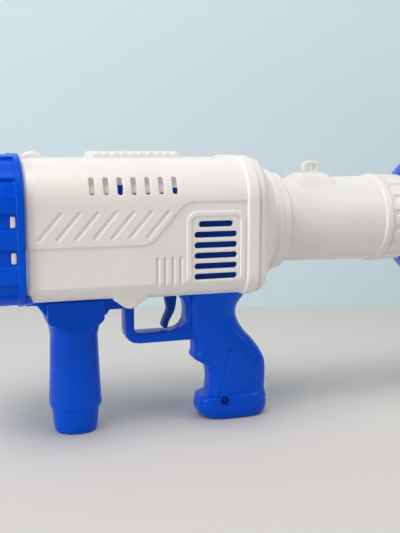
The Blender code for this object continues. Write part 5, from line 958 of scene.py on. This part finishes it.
# Behind the door a shelf frames the pack's pocket.
pack_low, pack_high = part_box("battery_pack")
shelf_flat = flat_field(154.0, 190.0, 9.5, 61.0)
shelf_gap, shelf_away = polygon_gap(shelf_flat, door_outline)
shelf_flat = shelf_flat - shelf_away * np.clip(shelf_gap - 0.6 * MM, 0, 0.8 * MM)[..., None]
pocket_low = (pack_low.x - SHOULDER - POCKET_PLAY, pack_low.z - AXIS - POCKET_PLAY)
pocket_high = (pack_high.x - SHOULDER + POCKET_PLAY, pack_high.z - AXIS + POCKET_PLAY)
in_pocket = rounded_box(shelf_flat[..., 0], shelf_flat[..., 1], pocket_low, pocket_high, 2.5 * MM)
pocket_slope = np.stack(np.gradient(in_pocket, DOOR_CELL), -1)
shelf_moved, shelf_cut, _ = pierce(shelf_flat, (in_pocket, pocket_slope), DOOR_CELL)
shelf_grid = grid_of(shelf_moved[..., 0], SHELF_Y + POCKET_DEEP * shelf_cut, shelf_moved[..., 1])
blue(piece_of("battery_shelf", shelf_grid, shelf_cut, shelf_gap > 1.3 * MM))


# The foregrip: a blue handle of two moulded halves, with a foot cap and a square collar that straddles the rail.
# The levels give its height, its two half widths and the squareness of its oval.
HANDLE, HANDLE_CELL, COLLAR_HALF, COLLAR_FROM = mm(40.5, 0.8, 16.0, 91)
HANDLE_SIDES, COLLAR_SLOPE = 192, 0.13
handle_line = finer(eased(np.array([
    (0.0, 12.0, 11.0, 2.2), (0.0, 15.2, 14.0, 2.2), (1.0, 16.2, 14.9, 2.2), (3.0, 17.1, 15.7, 2.2),
    (20.2, 18.7, 17.2, 2.2), (20.6, 20.2, 18.6, 2.2), (23.5, 20.7, 19.0, 2.2), (49.6, 19.55, 18.0, 2.2),
    (78.0, 18.5, 17.2, 2.3), (86.0, 19.7, 17.4, 3.2), (90.6, 22.1, 17.6, 9.0), (92.4, 22.3, 17.6, 12.0),
    (105.4, 22.3, 17.6, 12.0), (106.0, 21.8, 17.6, 12.0), (106.0, 21.7, 9.2, 12.0),
]) * np.array([MM, MM, MM, 1.0]), 1.6 * MM), 0.9 * MM)
handle_z, handle_long, handle_wide, handle_power = handle_line.T[:, :, None]
handle_turn = full_turn(HANDLE_SIDES)
handle_round = oval_reach(handle_turn, handle_power)
collar_side = COLLAR_HALF + COLLAR_SLOPE * np.maximum(COLLAR_FROM - handle_z, 0)
handle = grid_of(HANDLE + handle_long * handle_round * np.cos(handle_turn),
                 np.clip(handle_wide * handle_round * np.sin(handle_turn), -collar_side, collar_side),
                 FLOOR + handle_z)
handle[:, [0, HANDLE_SIDES // 2], 0] += np.array([-SEAM_DEPTH, SEAM_DEPTH])
handle_spots = np.column_stack([np.full(3, HANDLE), mm(100.0, 51.2, 15.8) + FLOOR])
handle_cut = drill(handle, handle_spots, HANDLE_CELL, 8 * MM, 2.0 * MM)
blue(screw_wells("foregrip_screw_wells", handle_spots, np.full(3, 2.95 * MM), mm(15.2, 17.0, 14.5),
                 mm(12.0, 8.0, 8.0)))
blue(piece_of("foregrip", handle, handle_cut, flip=True, caps=(np.arange(HANDLE_SIDES),), round_columns=True),
     "foregrip_left", "foregrip_right")


# The trigger: a curved lever of the blue plastic, painted a darker blue as painted shade, which hangs on a steel
# pin above the guard's opening and ends in a blunt tip.
LEVER_ROWS, LEVER_SIDES, LEVER_HALF, LEVER_SQUARE, LEVER_TIP = 73, 48, 5 * MM, 0.45, 0.6
lever_front, lever_back = (
    node_middle("trigger_pin") + flowing(np.arange(7.0), np.array(line) * MM, np.linspace(0, 6, LEVER_ROWS))
    for line in (
        [(-4.4, 1.5), (-4.6, 0), (-4.8, -10), (-3.6, -18), (-7.1, -27), (-8.0, -31.0), (-6.4, -33.0)],
        [(4.0, 1.5), (4.4, 0), (4.4, -9), (2.4, -19), (-1.9, -27), (-3.2, -31.2), (-4.5, -33.0)]))
lever_turn = full_turn(LEVER_SIDES)
lever_share = 0.5 + 0.5 * squared(np.cos(lever_turn), LEVER_SQUARE)
lever_plane = lever_front[:, None] + (lever_back - lever_front)[:, None] * lever_share[:, None]
lever_y = LEVER_HALF * squared(np.sin(lever_turn), LEVER_SQUARE)
lever = grid_of(lever_plane[..., 0], lever_y, lever_plane[..., 1])
lever[-1, :, 1] *= LEVER_TIP
lever_end = np.arange(LEVER_SIDES)
# Painted shade: the lever takes the darker blue.
dress(piece_of("trigger_lever", lever, round_columns=True,
               caps=(lever_end, lever_end[::-1] + (LEVER_ROWS - 1) * LEVER_SIDES)),
      shaded_blue, "trigger", "deep_blue_plastic", "trigger")


# The parts inside keep their solids: a blower of white and blue mouldings, a steel motor can, small screws, a
# black switch and a wrapped battery pack.
def metal(name, colour, rough):
    """Turned or drawn metal: fine streaks of noise drawn out along one way change its colour and roughness."""
    material, tree, shader = new_material(name)
    place = new_node(tree, "TexCoord").outputs["Object"]
    mapped = new_node(tree, "Mapping", {"Vector": place, "Scale": (1, 0.1, 1)}).outputs["Vector"]
    streak = new_node(tree, "TexNoise", {"Vector": mapped, "Scale": 900.0}).outputs["Fac"]
    ramp = new_node(tree, "ValToRGB", {"Fac": streak})
    ramp.color_ramp.elements[0].color = tuple(0.8 * c for c in colour[:3]) + (1,)
    ramp.color_ramp.elements[1].color = colour
    rub = new_node(tree, "Math", {0: streak, 1: 0.2, 2: rough}, operation="MULTIPLY_ADD")
    wire(tree, shader, {"Base Color": ramp.outputs["Color"], "Roughness": rub.outputs[0], "Metallic": 1.0})
    return material


steel = metal("drawn_steel", (0.62, 0.62, 0.63, 1.0), 0.22)
dark_steel = metal("blued_steel", (0.02, 0.06, 0.3, 1.0), 0.4)
black_plastic = plastic("black_switch", (0.02, 0.02, 0.022, 1.0), (0.03, 0.03, 0.032, 1.0), 0.35, 0.2)
pack_wrap = plastic("pack_film", (0.02, 0.16, 0.07, 1.0), (0.015, 0.12, 0.05, 1.0), 0.16, 0.12)
finishes = {
    white_plastic: ["air_duct", "impeller"],
    dark_steel: ["battery_door_screw"],
    # Painted shade: the vent screens and the blower take the darker blue that stands in for the shade inside the
    # body.
    shaded_blue: ["vent_screen_left", "vent_screen_right", "blower_housing", "blower_cover"],
    steel: ["motor", "motor_shaft", "trigger_pin", "return_spring"] + BODY_SCREWS
    + [f"frame_screw_{place}" for place in ("leg", "neck", "base")]
    + [f"foregrip_screw_{place}" for place in ("collar", "middle", "foot")],
    black_plastic: ["micro_switch", "motor_end_cap", "switch_plunger"],
    pack_wrap: ["battery_pack"],
}
for finish, names in finishes.items():
    for name in names:
        inner = bpy.data.objects[name]
        inner.data.materials.clear()
        inner.data.materials.append(finish)
